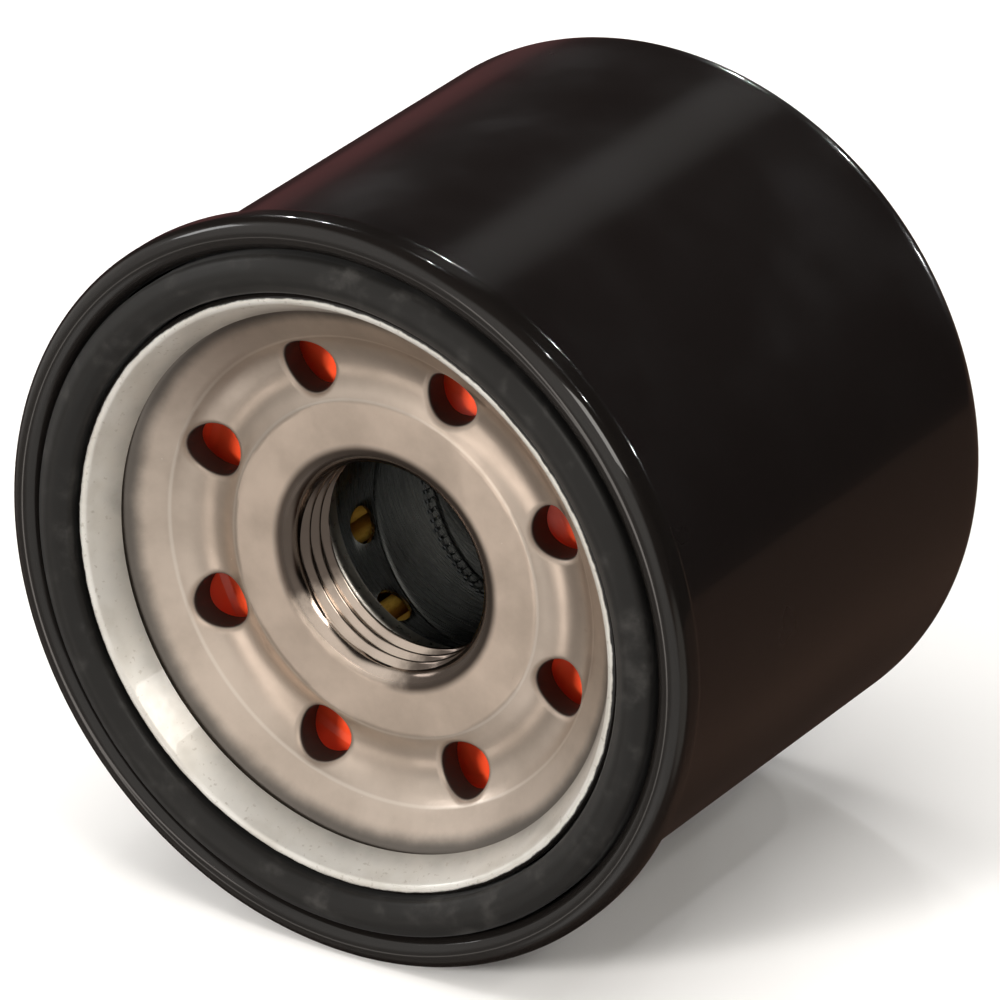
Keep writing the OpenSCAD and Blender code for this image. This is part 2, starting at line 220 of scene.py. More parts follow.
def make_piece(name, points, faces, material, sharp=35):
    """A smooth-shaded mesh piece, welded and with its normals outwards."""
    mesh = bpy.data.meshes.new(name)
    mesh.from_pydata(points, [], faces)
    bm = bmesh.new()
    bm.from_mesh(mesh)
    bmesh.ops.remove_doubles(bm, verts=bm.verts, dist=1e-7)
    bmesh.ops.dissolve_degenerate(bm, edges=bm.edges, dist=1e-8)
    bmesh.ops.recalc_face_normals(bm, faces=bm.faces)
    bm.to_mesh(mesh)
    bm.free()
    mesh.shade_smooth()
    mesh.set_sharp_from_angle(angle=math.radians(sharp))
    mesh.materials.append(material)
    piece = bpy.data.objects.new(name, mesh)
    bpy.context.scene.collection.objects.link(piece)
    return piece


def grid_faces(rows, columns, closed_rows=False, closed_columns=False, start=0):
    """Quads over a grid of points stored row by row."""
    faces = []
    for i in range(rows if closed_rows else rows - 1):
        for j in range(columns if closed_columns else columns - 1):
            a, b = start + i * columns, start + (i + 1) % rows * columns
            n = (j + 1) % columns
            faces.append((a + j, a + n, b + n, b + j))
    return faces


def turned(name, outline, material, steps=TURN_STEPS, sharp=35):
    """A closed outline turned about the axis."""
    points = [place(r, 360 * i / steps, depth) for i in range(steps) for r, depth in outline]
    return make_piece(name, points, grid_faces(steps, len(outline), True, True), material, sharp)


def extruded(outline, near, far, rows=1, shift=None):
    """Points and faces of a closed (x, z) outline carried along the axis, with optional shift(point, share)."""
    points, count = [], len(outline)
    for row in range(rows + 1):
        share = row / rows
        for x, z in outline:
            moved = shift((x, z), share) if shift else (x, z)
            points.append((moved[0] * MM, (near + (far - near) * share) * MM, -moved[1] * MM))
    faces = grid_faces(rows + 1, count, False, True)
    return points, faces


def swept(points, radius, sides=12):
    """Points and faces of a round wire along a line of points in metres, with rounded ends."""
    line = [Vector(p) for p in points]
    normal = Vector((0, 1, 0))
    rings, faces = [], []
    for i, here in enumerate(line):
        along = (line[min(i + 1, len(line) - 1)] - line[max(i - 1, 0)]).normalized()
        normal = (normal - along * normal.dot(along)).normalized()
        across = along.cross(normal)
        stations = [(0.0, 1.0)]
        if i == 0:
            stations = [(-0.5, 0.45), (-0.25, 0.85), (0.0, 1.0)]
        elif i == len(line) - 1:
            stations = [(0.0, 1.0), (0.25, 0.85), (0.5, 0.45)]
        for ahead, share in stations:
            centre = here + along * ahead * radius
            for j in range(sides):
                a = 2 * math.pi * j / sides
                rings.append(centre + (normal * math.cos(a) + across * math.sin(a)) * radius * share)
    count = len(rings) // sides
    faces = grid_faces(count, sides, False, True)
    faces.append(tuple(range(sides)))
    faces.append(tuple(range((count - 1) * sides, count * sides)))
    return rings, faces


def add_piece(piece, body, node):
    """The piece stands for a CAD node, which it hides, and rides the given body if one is given."""
    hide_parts(node)
    if body:
        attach(piece, body)
    return piece


# Materials

def tree_of(name):
    """A new node material, with its tree, its Principled shader and object coordinates in millimetres."""
    material = bpy.data.materials.new(name)
    material.use_nodes = True
    tree = material.node_tree
    shader = tree.nodes["Principled BSDF"]
    where = tree.nodes.new("ShaderNodeTexCoord").outputs["Object"]
    scale = tree.nodes.new("ShaderNodeVectorMath")
    scale.operation = "SCALE"
    scale.inputs["Scale"].default_value = 1 / MM
    tree.links.new(where, scale.inputs[0])
    return material, tree, shader, scale.outputs[0]


def put(tree, socket, value):
    """Links a node's output to a socket, or sets the socket to a number, colour or vector."""
    if isinstance(value, bpy.types.NodeSocket):
        tree.links.new(value, socket)
    else:
        socket.default_value = value


def noise(tree, where, size, detail=3.0, roughness=0.55, stretch=(1, 1, 1)):
    """Noise from 0 to 1 with features of about size millimetres."""
    mapping = tree.nodes.new("ShaderNodeVectorMath")
    mapping.operation = "MULTIPLY"
    mapping.inputs[1].default_value = stretch
    tree.links.new(where, mapping.inputs[0])
    node = tree.nodes.new("ShaderNodeTexNoise")
    node.inputs["Scale"].default_value = 1 / size
    node.inputs["Detail"].default_value = detail
    node.inputs["Roughness"].default_value = roughness
    tree.links.new(mapping.outputs[0], node.inputs["Vector"])
    return node.outputs["Fac"]


def ramp(tree, value, low, high, start=0.0, end=1.0):
    """Maps value from start..end to low..high, and holds it there."""
    node = tree.nodes.new("ShaderNodeMapRange")
    node.interpolation_type = "SMOOTHSTEP"
    for name, number in (("From Min", start), ("From Max", end), ("To Min", low), ("To Max", high)):
        node.inputs[name].default_value = number
    put(tree, node.inputs["Value"], value)
    return node.outputs["Result"]


def mix(tree, share, low, high):
    """Mixes two colours by a share from 0 to 1."""
    node = tree.nodes.new("ShaderNodeMix")
    node.data_type = "RGBA"
    put(tree, node.inputs[0], share)
    put(tree, node.inputs[6], low if isinstance(low, bpy.types.NodeSocket) else (*low, 1))
    put(tree, node.inputs[7], high if isinstance(high, bpy.types.NodeSocket) else (*high, 1))
    return node.outputs[2]


def math_node(tree, operation, a, b=0.0):
    node = tree.nodes.new("ShaderNodeMath")
    node.operation = operation
    put(tree, node.inputs[0], a)
    put(tree, node.inputs[1], b)
    return node.outputs[0]


def bump(tree, shader, height, distance, strength=1.0, after=None):
    """Adds a bump of height times distance millimetres to the shader, and returns its normal."""
    node = tree.nodes.new("ShaderNodeBump")
    node.inputs["Strength"].default_value = strength
    node.inputs["Distance"].default_value = distance * MM
    tree.links.new(height, node.inputs["Height"])
    if after:
        tree.links.new(after, node.inputs["Normal"])
    tree.links.new(node.outputs["Normal"], shader.inputs["Normal"])
    return node.outputs["Normal"]


def radius_of(tree, where):
    """Distance from the filter's axis, in millimetres."""
    flat = tree.nodes.new("ShaderNodeVectorMath")
    flat.operation = "MULTIPLY"
    flat.inputs[1].default_value = (1, 0, 1)
    tree.links.new(where, flat.inputs[0])
    length = tree.nodes.new("ShaderNodeVectorMath")
    length.operation = "LENGTH"
    tree.links.new(flat.outputs[0], length.inputs[0])
    return length.outputs["Value"]


def round_the_axis(tree, where, arc_stretch=1.0):
    """Coordinates (radius, depth, turn x stretch), so that noise in them runs in circles round the axis."""
    parts = tree.nodes.new("ShaderNodeSeparateXYZ")
    tree.links.new(where, parts.inputs[0])
    turn = math_node(tree, "ARCTAN2", parts.outputs[2], parts.outputs[0])
    joined = tree.nodes.new("ShaderNodeCombineXYZ")
    tree.links.new(radius_of(tree, where), joined.inputs[0])
    tree.links.new(parts.outputs[1], joined.inputs[1])
    tree.links.new(math_node(tree, "MULTIPLY", turn, arc_stretch), joined.inputs[2])
    return joined.outputs[0]


def gloss_black():
    """Black enamel: a deep, wet gloss with faint orange peel, dust and a few dulled patches."""
    material, tree, shader, where = tree_of("gloss_black")
    specks = ramp(tree, noise(tree, where, 0.35, 1), 0, 1, 0.76, 0.82)
    haze = noise(tree, where, 14, 4)
    put(tree, shader.inputs["Base Color"], mix(tree, specks, (0.006, 0.0045, 0.0042), (0.03, 0.026, 0.023)))
    put(tree, shader.inputs["Roughness"], ramp(tree, haze, 0.18, 0.28, 0.35, 0.75))
    shader.inputs["Specular IOR Level"].default_value = 0.45
    shader.inputs["Coat Weight"].default_value = 0.5
    shader.inputs["Coat Roughness"].default_value = 0.03
    bump(tree, shader, noise(tree, where, 2.2, 2), 0.02, 0.35)
    return material


def seam_finish():
    """The lid's finish: black enamel on the seam and groove, thinning to bare tinned steel on the inner lip, whose
    foot is darkened with painted shade.
    """
    material, tree, shader, where = tree_of("seam_finish")
    radius = radius_of(tree, where)
    edge = math_node(tree, "ADD", radius, ramp(tree, noise(tree, where, 1.6, 4), -0.12, 0.12))
    paint = ramp(tree, edge, 0, 1, LIP_PAINT_R - 0.08, LIP_PAINT_R + 0.1)
    cloud = noise(tree, where, 5, 4)
    tin = mix(tree, ramp(tree, cloud, 0, 1, 0.35, 0.7), (0.72, 0.70, 0.66), (0.62, 0.59, 0.54))
    # Painted shade: the tinned lip darkens towards its foot, where it meets the plate in a crease.
    foot = math_node(tree, "ADD", radius, ramp(tree, cloud, -0.25, 0.25, 0.3, 0.7))
    tin = mix(tree, ramp(tree, foot, 0.8, 0, 24.2, 25.7), tin, (0.24, 0.225, 0.205))
    rubbed = ramp(tree, noise(tree, where, 0.5, 2), 0, 0.5, 0.62, 0.72)
    tin = mix(tree, rubbed, tin, (0.42, 0.38, 0.33))
    put(tree, shader.inputs["Base Color"], mix(tree, paint, tin, (0.006, 0.005, 0.0045)))
    put(tree, shader.inputs["Metallic"], ramp(tree, paint, 0.75, 0.0))
    bare = ramp(tree, noise(tree, where, 0.8, 3), 0.42, 0.55)
    gloss = ramp(tree, cloud, 0.16, 0.26, 0.35, 0.75)
    blend = tree.nodes.new("ShaderNodeMix")
    put(tree, blend.inputs[0], paint)
    put(tree, blend.inputs[2], bare)
    put(tree, blend.inputs[3], gloss)
    put(tree, shader.inputs["Roughness"], blend.outputs[0])
    shader.inputs["Specular IOR Level"].default_value = 0.12
    shader.inputs["Coat Weight"].default_value = 0.65
    shader.inputs["Coat Roughness"].default_value = 0.03
    bump(tree, shader, noise(tree, where, 0.9, 3), 0.012, 0.4)
    return material


def plain_compound():
    material, tree, shader, where = tree_of("sealing_compound")
    put(tree, shader.inputs["Base Color"], mix(tree, noise(tree, where, 2), (0.30, 0.27, 0.21), (0.42, 0.38, 0.3)))
    put(tree, shader.inputs["Roughness"], ramp(tree, noise(tree, where, 0.6), 0.55, 0.75))
    bump(tree, shader, noise(tree, where, 0.5), 0.03, 0.5)
    return material


def rubber(name, colour, worn, roughness, size):
    """Moulded rubber with a fine grain, faint dust and a soft sheen."""
    material, tree, shader, where = tree_of(name)
    circles = round_the_axis(tree, where, 4)
    dust = ramp(tree, noise(tree, where, 3.5, 5, 0.65), 0, 1, 0.5, 0.85)
    put(tree, shader.inputs["Base Color"], mix(tree, dust, colour, worn))
    put(tree, shader.inputs["Roughness"], ramp(tree, noise(tree, where, 6, 3), roughness - 0.07, roughness + 0.07))
    shader.inputs["Specular IOR Level"].default_value = 0.25
    shader.inputs["Sheen Weight"].default_value = 0.05
    shader.inputs["Sheen Roughness"].default_value = 0.45
    first = bump(tree, shader, noise(tree, circles, size, 3), 0.02, 0.35)
    bump(tree, shader, noise(tree, where, size / 3, 2), 0.01, 0.5, first)
    return material


def silicone():
    """Orange-red silicone, slightly translucent, with a satin skin."""
    material, tree, shader, where = tree_of("silicone")
    patches = noise(tree, where, 4, 3)
    put(tree, shader.inputs["Base Color"], mix(tree, patches, (0.78, 0.060, 0.016), (0.87, 0.095, 0.030)))
    put(tree, shader.inputs["Roughness"], ramp(tree, noise(tree, where, 1.2, 3), 0.34, 0.48))
    shader.inputs["Subsurface Weight"].default_value = 0.12
    shader.inputs["Subsurface Radius"].default_value = (1.0, 0.2, 0.08)
    shader.inputs["Subsurface Scale"].default_value = 1.2 * MM
    bump(tree, shader, noise(tree, round_the_axis(tree, where, 3), 0.8, 2), 0.02, 0.4)
    return material


def from_inlet(tree, where):
    """Distance in millimetres from the axis of the nearest inlet hole."""
    parts = tree.nodes.new("ShaderNodeSeparateXYZ")
    tree.links.new(where, parts.inputs[0])
    pitch = 2 * math.pi / INLETS
    down = math_node(tree, "MULTIPLY", parts.outputs[2], -1.0)
    turn = math_node(tree, "ARCTAN2", down, parts.outputs[0])
    turn = math_node(tree, "SUBTRACT", turn, math.radians(INLET_PHASE) - pitch / 2)
    turn = math_node(tree, "SUBTRACT", math_node(tree, "FLOORED_MODULO", turn, pitch), pitch / 2)
    radius = radius_of(tree, where)
    along = math_node(tree, "SUBTRACT", math_node(tree, "MULTIPLY", radius, math_node(tree, "COSINE", turn)),
                      INLET_CIRCLE_R)
    across = math_node(tree, "MULTIPLY", radius, math_node(tree, "SINE", turn))
    squares = math_node(tree, "ADD", math_node(tree, "POWER", along, 2.0), math_node(tree, "POWER", across, 2.0))
    return math_node(tree, "SQRT", squares)


def painted_bore_shade(tree, where):
    """How much painted shade darkens a place in the bore: 0 on the side that faces the light, rising to 0.9 round the
    rest of it.
    """
    flat = tree.nodes.new("ShaderNodeVectorMath")
    flat.operation = "MULTIPLY"
    flat.inputs[1].default_value = (1, 0, 1)
    tree.links.new(where, flat.inputs[0])
    unit = tree.nodes.new("ShaderNodeVectorMath")
    unit.operation = "NORMALIZE"
    tree.links.new(flat.outputs[0], unit.inputs[0])
    side = tree.nodes.new("ShaderNodeVectorMath")
    side.operation = "DOT_PRODUCT"
    side.inputs[1].default_value = (-0.43, 0, -0.90)
    tree.links.new(unit.outputs[0], side.inputs[0])
    ragged = math_node(tree, "ADD", side.outputs["Value"], ramp(tree, noise(tree, where, 1.5, 3), -0.06, 0.06))
    return ramp(tree, ragged, 0.9, 0, 0.76, 0.93)


def pressed_steel():
    """The plate's satin steel: warm, lightly oiled, with forming marks in circles; painted shade on the inlet holes'
    walls, in the crease by the lip and round most of the bore, and painted highlight lines along the boss's and
    channel's edges.
    """
    material, tree, shader, where = tree_of("pressed_steel")
    circles = round_the_axis(tree, where, 2.5)
    radius = radius_of(tree, where)
    cloud = noise(tree, where, 6, 5, 0.6)
    base = mix(tree, ramp(tree, cloud, 0, 1, 0.3, 0.75), (0.66, 0.555, 0.475), (0.55, 0.46, 0.39))
    stain = ramp(tree, noise(tree, where, 2.4, 4, 0.7), 0, 0.45, 0.68, 0.8)
    base = mix(tree, stain, base, (0.38, 0.26, 0.18))
    specks = ramp(tree, noise(tree, where, 0.5, 1), 0, 0.5, 0.80, 0.86)
    base = mix(tree, specks, base, (0.90, 0.86, 0.8))
    # Painted shade: the plate's outer ring darkens towards the lip's foot, in the crease's shade.
    crease_shade_radius = math_node(tree, "ADD", radius, ramp(tree, cloud, -0.12, 0.12, 0.3, 0.7))
    painted_crease_shade = ramp(tree, crease_shade_radius, 0, 0.85, 22.9, 24.3)
    base = mix(tree, painted_crease_shade, base, (0.09, 0.085, 0.08))
    # Painted highlight: a thin lighter line along the boss's edge and the channel's edge, where the bends catch the
    # light.
    for edge_r in (BOSS_R + 0.1, CHANNEL_R):
        off_highlight_line = math_node(tree, "ABSOLUTE", math_node(tree, "SUBTRACT", radius, edge_r))
        base = mix(tree, ramp(tree, off_highlight_line, 0.4, 0, 0.03, 0.2), base, (0.88, 0.80, 0.72))
    # Painted shade: the thread and entry darken round most of the bore, all but the side that faces the light.
    bore_shade = math_node(tree, "MULTIPLY", painted_bore_shade(tree, where), ramp(tree, radius, 1, 0, 10.7, 11.5))
    base = mix(tree, bore_shade, base, (0.060, 0.045, 0.038))
    reach = from_inlet(tree, where)
    # Painted shade: the inlet holes' walls are painted near-black maroon, the tone of the shade inside the holes.
    painted_hole_wall_shade = ramp(tree, reach, 1, 0, INLET_R + 0.04, INLET_R + 0.2)
    base = mix(tree, painted_hole_wall_shade, base, (0.022, 0.011, 0.008))
    put(tree, shader.inputs["Base Color"], base)
    put(tree, shader.inputs["Metallic"], ramp(tree, painted_hole_wall_shade, 1.0, 0.4))
    grain = noise(tree, circles, 0.35, 3)
    satin = ramp(tree, cloud, 0.31, 0.40, 0.3, 0.75)
    thread = ramp(tree, radius, 0.2, 0, THREAD_ROOT_R + 0.1, THREAD_ROOT_R + 0.5)
    satin = math_node(tree, "SUBTRACT", satin, thread)
    rounded_rim = ramp(tree, reach, 0.55, 0, INLET_R + 0.3, INLET_R + 0.9)
    satin = math_node(tree, "MAXIMUM", satin, rounded_rim)
    put(tree, shader.inputs["Roughness"], math_node(tree, "MAXIMUM", satin, ramp(tree, painted_hole_wall_shade, 0, 0.65)))
    first = bump(tree, shader, grain, 0.005, 0.5)
    bump(tree, shader, noise(tree, where, 0.7, 4), 0.01, 0.45, first)
    return material


def bright_steel(name, light, dark, roughness, size, along=(1, 1, 1)):
    """Bare or plated steel with drawing marks along one direction."""
    material, tree, shader, where = tree_of(name)
    marks = noise(tree, where, size, 4, 0.6, along)
    cloud = noise(tree, where, 5, 4)
    put(tree, shader.inputs["Base Color"], mix(tree, ramp(tree, cloud, 0, 1, 0.3, 0.75), light, dark))
    shader.inputs["Metallic"].default_value = 1.0
    put(tree, shader.inputs["Roughness"], ramp(tree, marks, roughness - 0.08, roughness + 0.08, 0.3, 0.7))
    bump(tree, shader, marks, 0.008, 0.5)
    return material


def rolled_strip():
    """The centre tube's dark, shiny tinned strip, with rolling marks along the spiral."""
    material, tree, shader, where = tree_of("rolled_strip")
    circles = round_the_axis(tree, where, 1.0)
    marks = noise(tree, circles, 0.22, 3, 0.6, (1, 1, 0.5))
    cloud = noise(tree, where, 4, 4)
    put(tree, shader.inputs["Base Color"], mix(tree, cloud, (0.32, 0.33, 0.335), (0.20, 0.21, 0.215)))
    shader.inputs["Metallic"].default_value = 1.0
    put(tree, shader.inputs["Roughness"], ramp(tree, marks, 0.2, 0.34, 0.3, 0.7))
    bump(tree, shader, marks, 0.01, 0.5)
    return material


def filter_paper():
    """Amber resin-soaked paper, with fibres and a little show-through."""
    material, tree, shader, where = tree_of("filter_paper")
    fibres = noise(tree, where, 0.25, 4, 0.7, (1, 0.35, 1))
    patches = noise(tree, where, 3, 3)
    base = mix(tree, patches, (0.80, 0.42, 0.05), (0.92, 0.60, 0.12))
    put(tree, shader.inputs["Base Color"], mix(tree, ramp(tree, fibres, 0, 0.5, 0.45, 0.7), base, (0.55, 0.26, 0.02)))
    put(tree, shader.inputs["Roughness"], ramp(tree, fibres, 0.6, 0.8))
    shader.inputs["Subsurface Weight"].default_value = 0.2
    shader.inputs["Subsurface Radius"].default_value = (1.0, 0.6, 0.2)
    shader.inputs["Subsurface Scale"].default_value = 0.6 * MM
    bump(tree, shader, fibres, 0.03, 0.6)
    return material


def pale_floor():
    material, tree, shader, where = tree_of("pale_floor")
    put(tree, shader.inputs["Base Color"], mix(tree, noise(tree, where, 180, 3), (0.86, 0.85, 0.84), (0.88, 0.87, 0.86)))
    shader.inputs["Roughness"].default_value = 0.9
    return material


# The can, lid and gasket

def shell(material):
    """The drawn can: hooked edge, straight wall, rounded corner and shallow dome."""
    wall_r = CAN_R - CAN_T / 2
    dome_centre = CROWN - DOME_R
    rise = math.sqrt((DOME_R - CORNER_R) ** 2 - (CAN_R - CORNER_R) ** 2)
    corner = (CAN_R - CORNER_R, dome_centre + rise)
    join = angle_from((0, dome_centre), corner)
    hook = arc((SEAM_R, SEAM_DEPTH), SEAM_R - wall_r, 0, -180, 20)
    wall = [(wall_r, SEAM_DEPTH + (corner[1] - SEAM_DEPTH) * k / 12) for k in range(1, 12)]
    bend = arc(corner, CORNER_R - CAN_T / 2, 0, join, 14)
    dome = arc((0, dome_centre), DOME_R - CAN_T / 2, join + 0.4, 90, 16)
    path = [(2 * SEAM_R - wall_r, HOOK_DEPTH - 0.15)] + hook + wall + bend + dome
    return turned("can_shell", sheet(path, CAN_T), material)


LIP_IN_R = SEAM_R - SEAM_BEND - 4.55 + LID_T / 2
LIP_PAINT_R = LIP_IN_R - 0.18


def seaming_lid(material):
    """The lid: rolled with the can's edge, then the gasket's groove and the inner lip's sloping wall."""
    floor = LID_BACK - LID_T / 2
    groove_r = SEAM_R - SEAM_BEND
    bend = 0.6
    lip = (LIP_IN_R - LIP_BEND, 1.3 + LIP_BEND + LID_T / 2)
    slope = (-math.sin(math.radians(LIP_SLOPE)), math.cos(math.radians(LIP_SLOPE)))
    start = (lip[0] + LIP_BEND * math.cos(math.radians(LIP_SLOPE - 180)),
             lip[1] + LIP_BEND * math.sin(math.radians(LIP_SLOPE - 180)))
    run = (floor - 0.05 - start[1]) / slope[1]
    path = [(SEAM_R, SEAM_DEPTH + 0.15)]
    path += arc((SEAM_R + HOOK_R, HOOK_DEPTH), HOOK_R, 180, 0, 14)
    path += arc((SEAM_R, SEAM_DEPTH), SEAM_BEND, 0, -180, 28)
    path += arc((groove_r - bend, floor - bend), bend, 0, 90, 8)
    path += arc((LIP_IN_R + bend, floor - bend), bend, 90, 180, 8)
    path += arc(lip, LIP_BEND, 0, -180 + LIP_SLOPE, 12)
    path += [(start[0] + slope[0] * run * k / 6, start[1] + slope[1] * run * k / 6) for k in range(1, 7)]
    return turned("seaming_lid_sheet", sheet(path, LID_T), material)


def seam_compound(material):
    """Sealing compound in the fold between the lid and the can's edge."""
    fold_r = SEAM_BEND - 0.325
    leg = SEAM_DEPTH + 0.75
    path = [(SEAM_R - fold_r, leg)] + arc((SEAM_R, SEAM_DEPTH), fold_r, 180, 360, 20) + [(SEAM_R + fold_r, leg)]
    return turned("seam_compound_bead", sheet(path, 0.11), material)


def gasket(material):
    """Square-section gasket with rounded edges and a slightly crowned face."""
    inner = GASKET_R - 3.4
    crown, edge = GASKET_FRONT - 0.34, GASKET_FRONT + 0.8
    corners = [(inner, edge, 0.9), (GASKET_R - 1.7, crown, 1.9), (GASKET_R, edge, 0.9),
               (GASKET_R, GASKET_BACK, 0.5), (inner, GASKET_BACK, 0.5)]
    return turned("gasket_ring", rounded(corners, 10), material, sharp=60)


# The base plate

def plate_front(radius):
    """Depth of the plate's front face between the boss and its flat edge."""
    for (r0, d0), (r1, d1) in zip(PLATE_FACE, PLATE_FACE[1:]):
        if r0 <= radius <= r1:
            return d0 + (d1 - d0) * (radius - r0) / (r1 - r0)
    return PLATE_FACE[-1][1]


def plate_back(radius):
    """Depth of the plate's back face, which follows the front at the sheet's thickness."""
    reach = 0.35
    return (plate_front(radius - reach) + plate_front(radius + reach)) / 2 + PLATE_T


def smoothed_face():
    """The front face from the boss outwards, with each bend eased as a press leaves it."""
    boss_r, floor_r, edge_r, cone_r = BOSS_R, 17.4, CHANNEL_R, PLATE_R - 5.6
    channel_depth = PLATE_FRONT + 2.1
    corners = [(11.0, BOSS_DEPTH, 0), (boss_r, BOSS_DEPTH, 0.5)]
    channel = arc_through((boss_r + 0.4, BOSS_DEPTH + 0.12), (floor_r, BOSS_DEPTH + 0.6), (edge_r, channel_depth), 18)
    corners += [(r, d, 0.25) for r, d in channel]
    corners += [(cone_r, PLATE_FRONT, 1.0), (PLATE_R, PLATE_FRONT, 0)]
    steps = 5
    points = rounded(corners + [(PLATE_R, PLATE_FRONT - 5, 0), (11.0, PLATE_FRONT - 5, 0)], steps)
    return [p for p in points if p[1] >= PLATE_FRONT - 1e-6]


PLATE_FACE = smoothed_face()


def inlet_patch(add, side, centre_angle, r0, r1, half_angle, cells, depth_at, rim):
    """A square patch of the plate's face round one inlet hole, from its border in to the hole's rounded edge."""
    border = []
    for k in range(4 * cells):
        edge, step = divmod(k, cells)
        share = step / cells
        spot = [(share, 0), (1, share), (1 - share, 1), (0, 1 - share)][edge]
        border.append((centre_angle - half_angle + 2 * half_angle * spot[0], r0 + (r1 - r0) * spot[1]))
    loops = []
    rings = 8
    # Offsets from the hole's wall of the rounded rim's loops, then the loops that spread to the border
    rim_offsets = [rim * (1 - math.cos(math.radians(a))) for a in range(0, 91, 15)]
    for level in range(len(rim_offsets) + rings):
        loop = []
        for angle, radius in border:
            turn = math.radians(angle - centre_angle)
            x = radius * math.cos(turn) - INLET_CIRCLE_R
            z = radius * math.sin(turn)
            reach = math.hypot(x, z)
            if level < len(rim_offsets):
                offset = rim_offsets[level]
                share = (INLET_R + offset) / reach
                drop = rim - math.sqrt(max(rim ** 2 - (rim - offset) ** 2, 0))
            else:
                t = (level - len(rim_offsets) + 1) / rings
                start = (INLET_R + rim) / reach
                share = start + (1 - start) * t
                drop = 0
            px, pz = INLET_CIRCLE_R + x * share, z * share
            r = math.hypot(px, pz)
            a = centre_angle + math.degrees(math.atan2(pz, px))
            loop.append(add(r, a, depth_at(r) + drop * side))
        loops.append(loop)
    return loops


def thread_cut(angle, depth):
    """Radius of the M20 thread's surface at one place in the bore."""
    phase = (depth - THREAD_START - THREAD_PITCH * angle / 360) / THREAD_PITCH
    phase -= math.floor(phase)
    from_crest = min(phase, 1 - phase)
    crest, root = 0.0, 0.46
    share = min(max((from_crest - crest) / (root - crest), 0), 1)
    eased = 2 * share ** 2 if share < 0.25 else (share - 0.125)
    return BORE_R + THREAD_DEPTH * eased / 0.875


def base_plate(material):
    """The pressed plate: dished face, eight inlet holes with rolled edges, radiused entry and a real thread."""
    points, faces = [], []

    def add(r, angle, depth):
        points.append(place(r, angle, depth))
        return len(points) - 1

    def join(loop_a, loop_b, closed=True):
        count = len(loop_a)
        for j in range(count if closed else count - 1):
            n = (j + 1) % count
            faces.append((loop_a[j], loop_a[n], loop_b[n], loop_b[j]))

    r0, r1, cells = 15.1, 21.9, 16
    pitch = 360 / INLETS
    half = 10.9
    between = 16
    fixed_angles = []
    for k in range(INLETS):
        middle = INLET_PHASE + k * pitch
        fixed_angles += [middle - half + 2 * half * i / cells for i in range(cells)]
        gap = pitch - 2 * half
        fixed_angles += [middle + half + gap * i / between for i in range(between)]

    def ring(r, depth):
        return [add(r, a, depth) for a in fixed_angles]

    face_radii = [11.0 + (r0 - 11.0) * i / 14 for i in range(15)]
    outer_radii = [r1 + (PLATE_R - r1) * i / 34 for i in range(35)]
    patch_radii = [r0 + (r1 - r0) * i / cells for i in range(cells + 1)]

    def face_side(depth_at, side, rim, inner_radii):
        """One face of the plate. Returns its innermost and outermost rings and each hole's edge."""
        rings = [ring(r, depth_at(r)) for r in inner_radii]
        for a, b in zip(rings, rings[1:]):
            join(a, b)
        outers = [ring(r, depth_at(r)) for r in outer_radii]
        for a, b in zip(outers, outers[1:]):
            join(a, b)
        edges = []
        for k in range(INLETS):
            middle = INLET_PHASE + k * pitch
            gap = pitch - 2 * half
            strips = [[add(r, middle + half + gap * i / between, depth_at(r)) for r in patch_radii]
                      for i in range(between + 1)]
            for a, b in zip(strips, strips[1:]):
                join(a, b, closed=False)
            loops = inlet_patch(add, side, middle, r0, r1, half, cells, depth_at, rim)
            for a, b in zip(loops, loops[1:]):
                join(a, b)
            edges.append(loops[0])
        return rings[0], outers[-1], edges

    front_in, front_out, front_edges = face_side(plate_front, 1, 0.5, face_radii)
    back_radii = [13.0 + (r0 - 13.0) * i / 8 for i in range(9)]
    back_in, back_out, back_edges = face_side(plate_back, -1, 0.06, back_radii)
    for front_edge, back_edge in zip(front_edges, back_edges):
        join(front_edge, back_edge)
    join(front_out, back_out)

    # The neck: radiused entry, threaded bore, chamfered end and outer wall down to the back face
    entry = arc((BORE_R + 1.8, BOSS_DEPTH + 1.8), 1.8, 270, 180, 18)
    turns = int((PLATE_BACK - entry[-1][1]) / 0.06)
    bore = [(BORE_R, entry[-1][1] + (PLATE_BACK - entry[-1][1]) * i / turns) for i in range(1, turns + 1)]
    previous = front_in
    for r, depth in entry[1:] + bore:
        chamfer = BORE_R + max(0, depth - PLATE_BACK + 0.9)
        this = []
        for a in fixed_angles:
            cut = thread_cut(a, depth) if depth > BOSS_DEPTH + 0.9 else 0
            this.append(add(max(r, chamfer, cut), a, depth))
        join(previous, this)
        previous = this
    neck_r = 12
    back_depth = plate_back(13.0)
    outer = [(neck_r - 0.3, PLATE_BACK), (neck_r - 0.09, PLATE_BACK - 0.09), (neck_r, PLATE_BACK - 0.3)]
    outer += arc((neck_r + 1, back_depth + 1), 1, 180, 270, 8)[:-1]
    for r, depth in outer:
        this = ring(r, depth)
        join(previous, this)
        previous = this
    join(previous, back_in)
    return make_piece("base_plate_pressing", points, faces, material, 40)


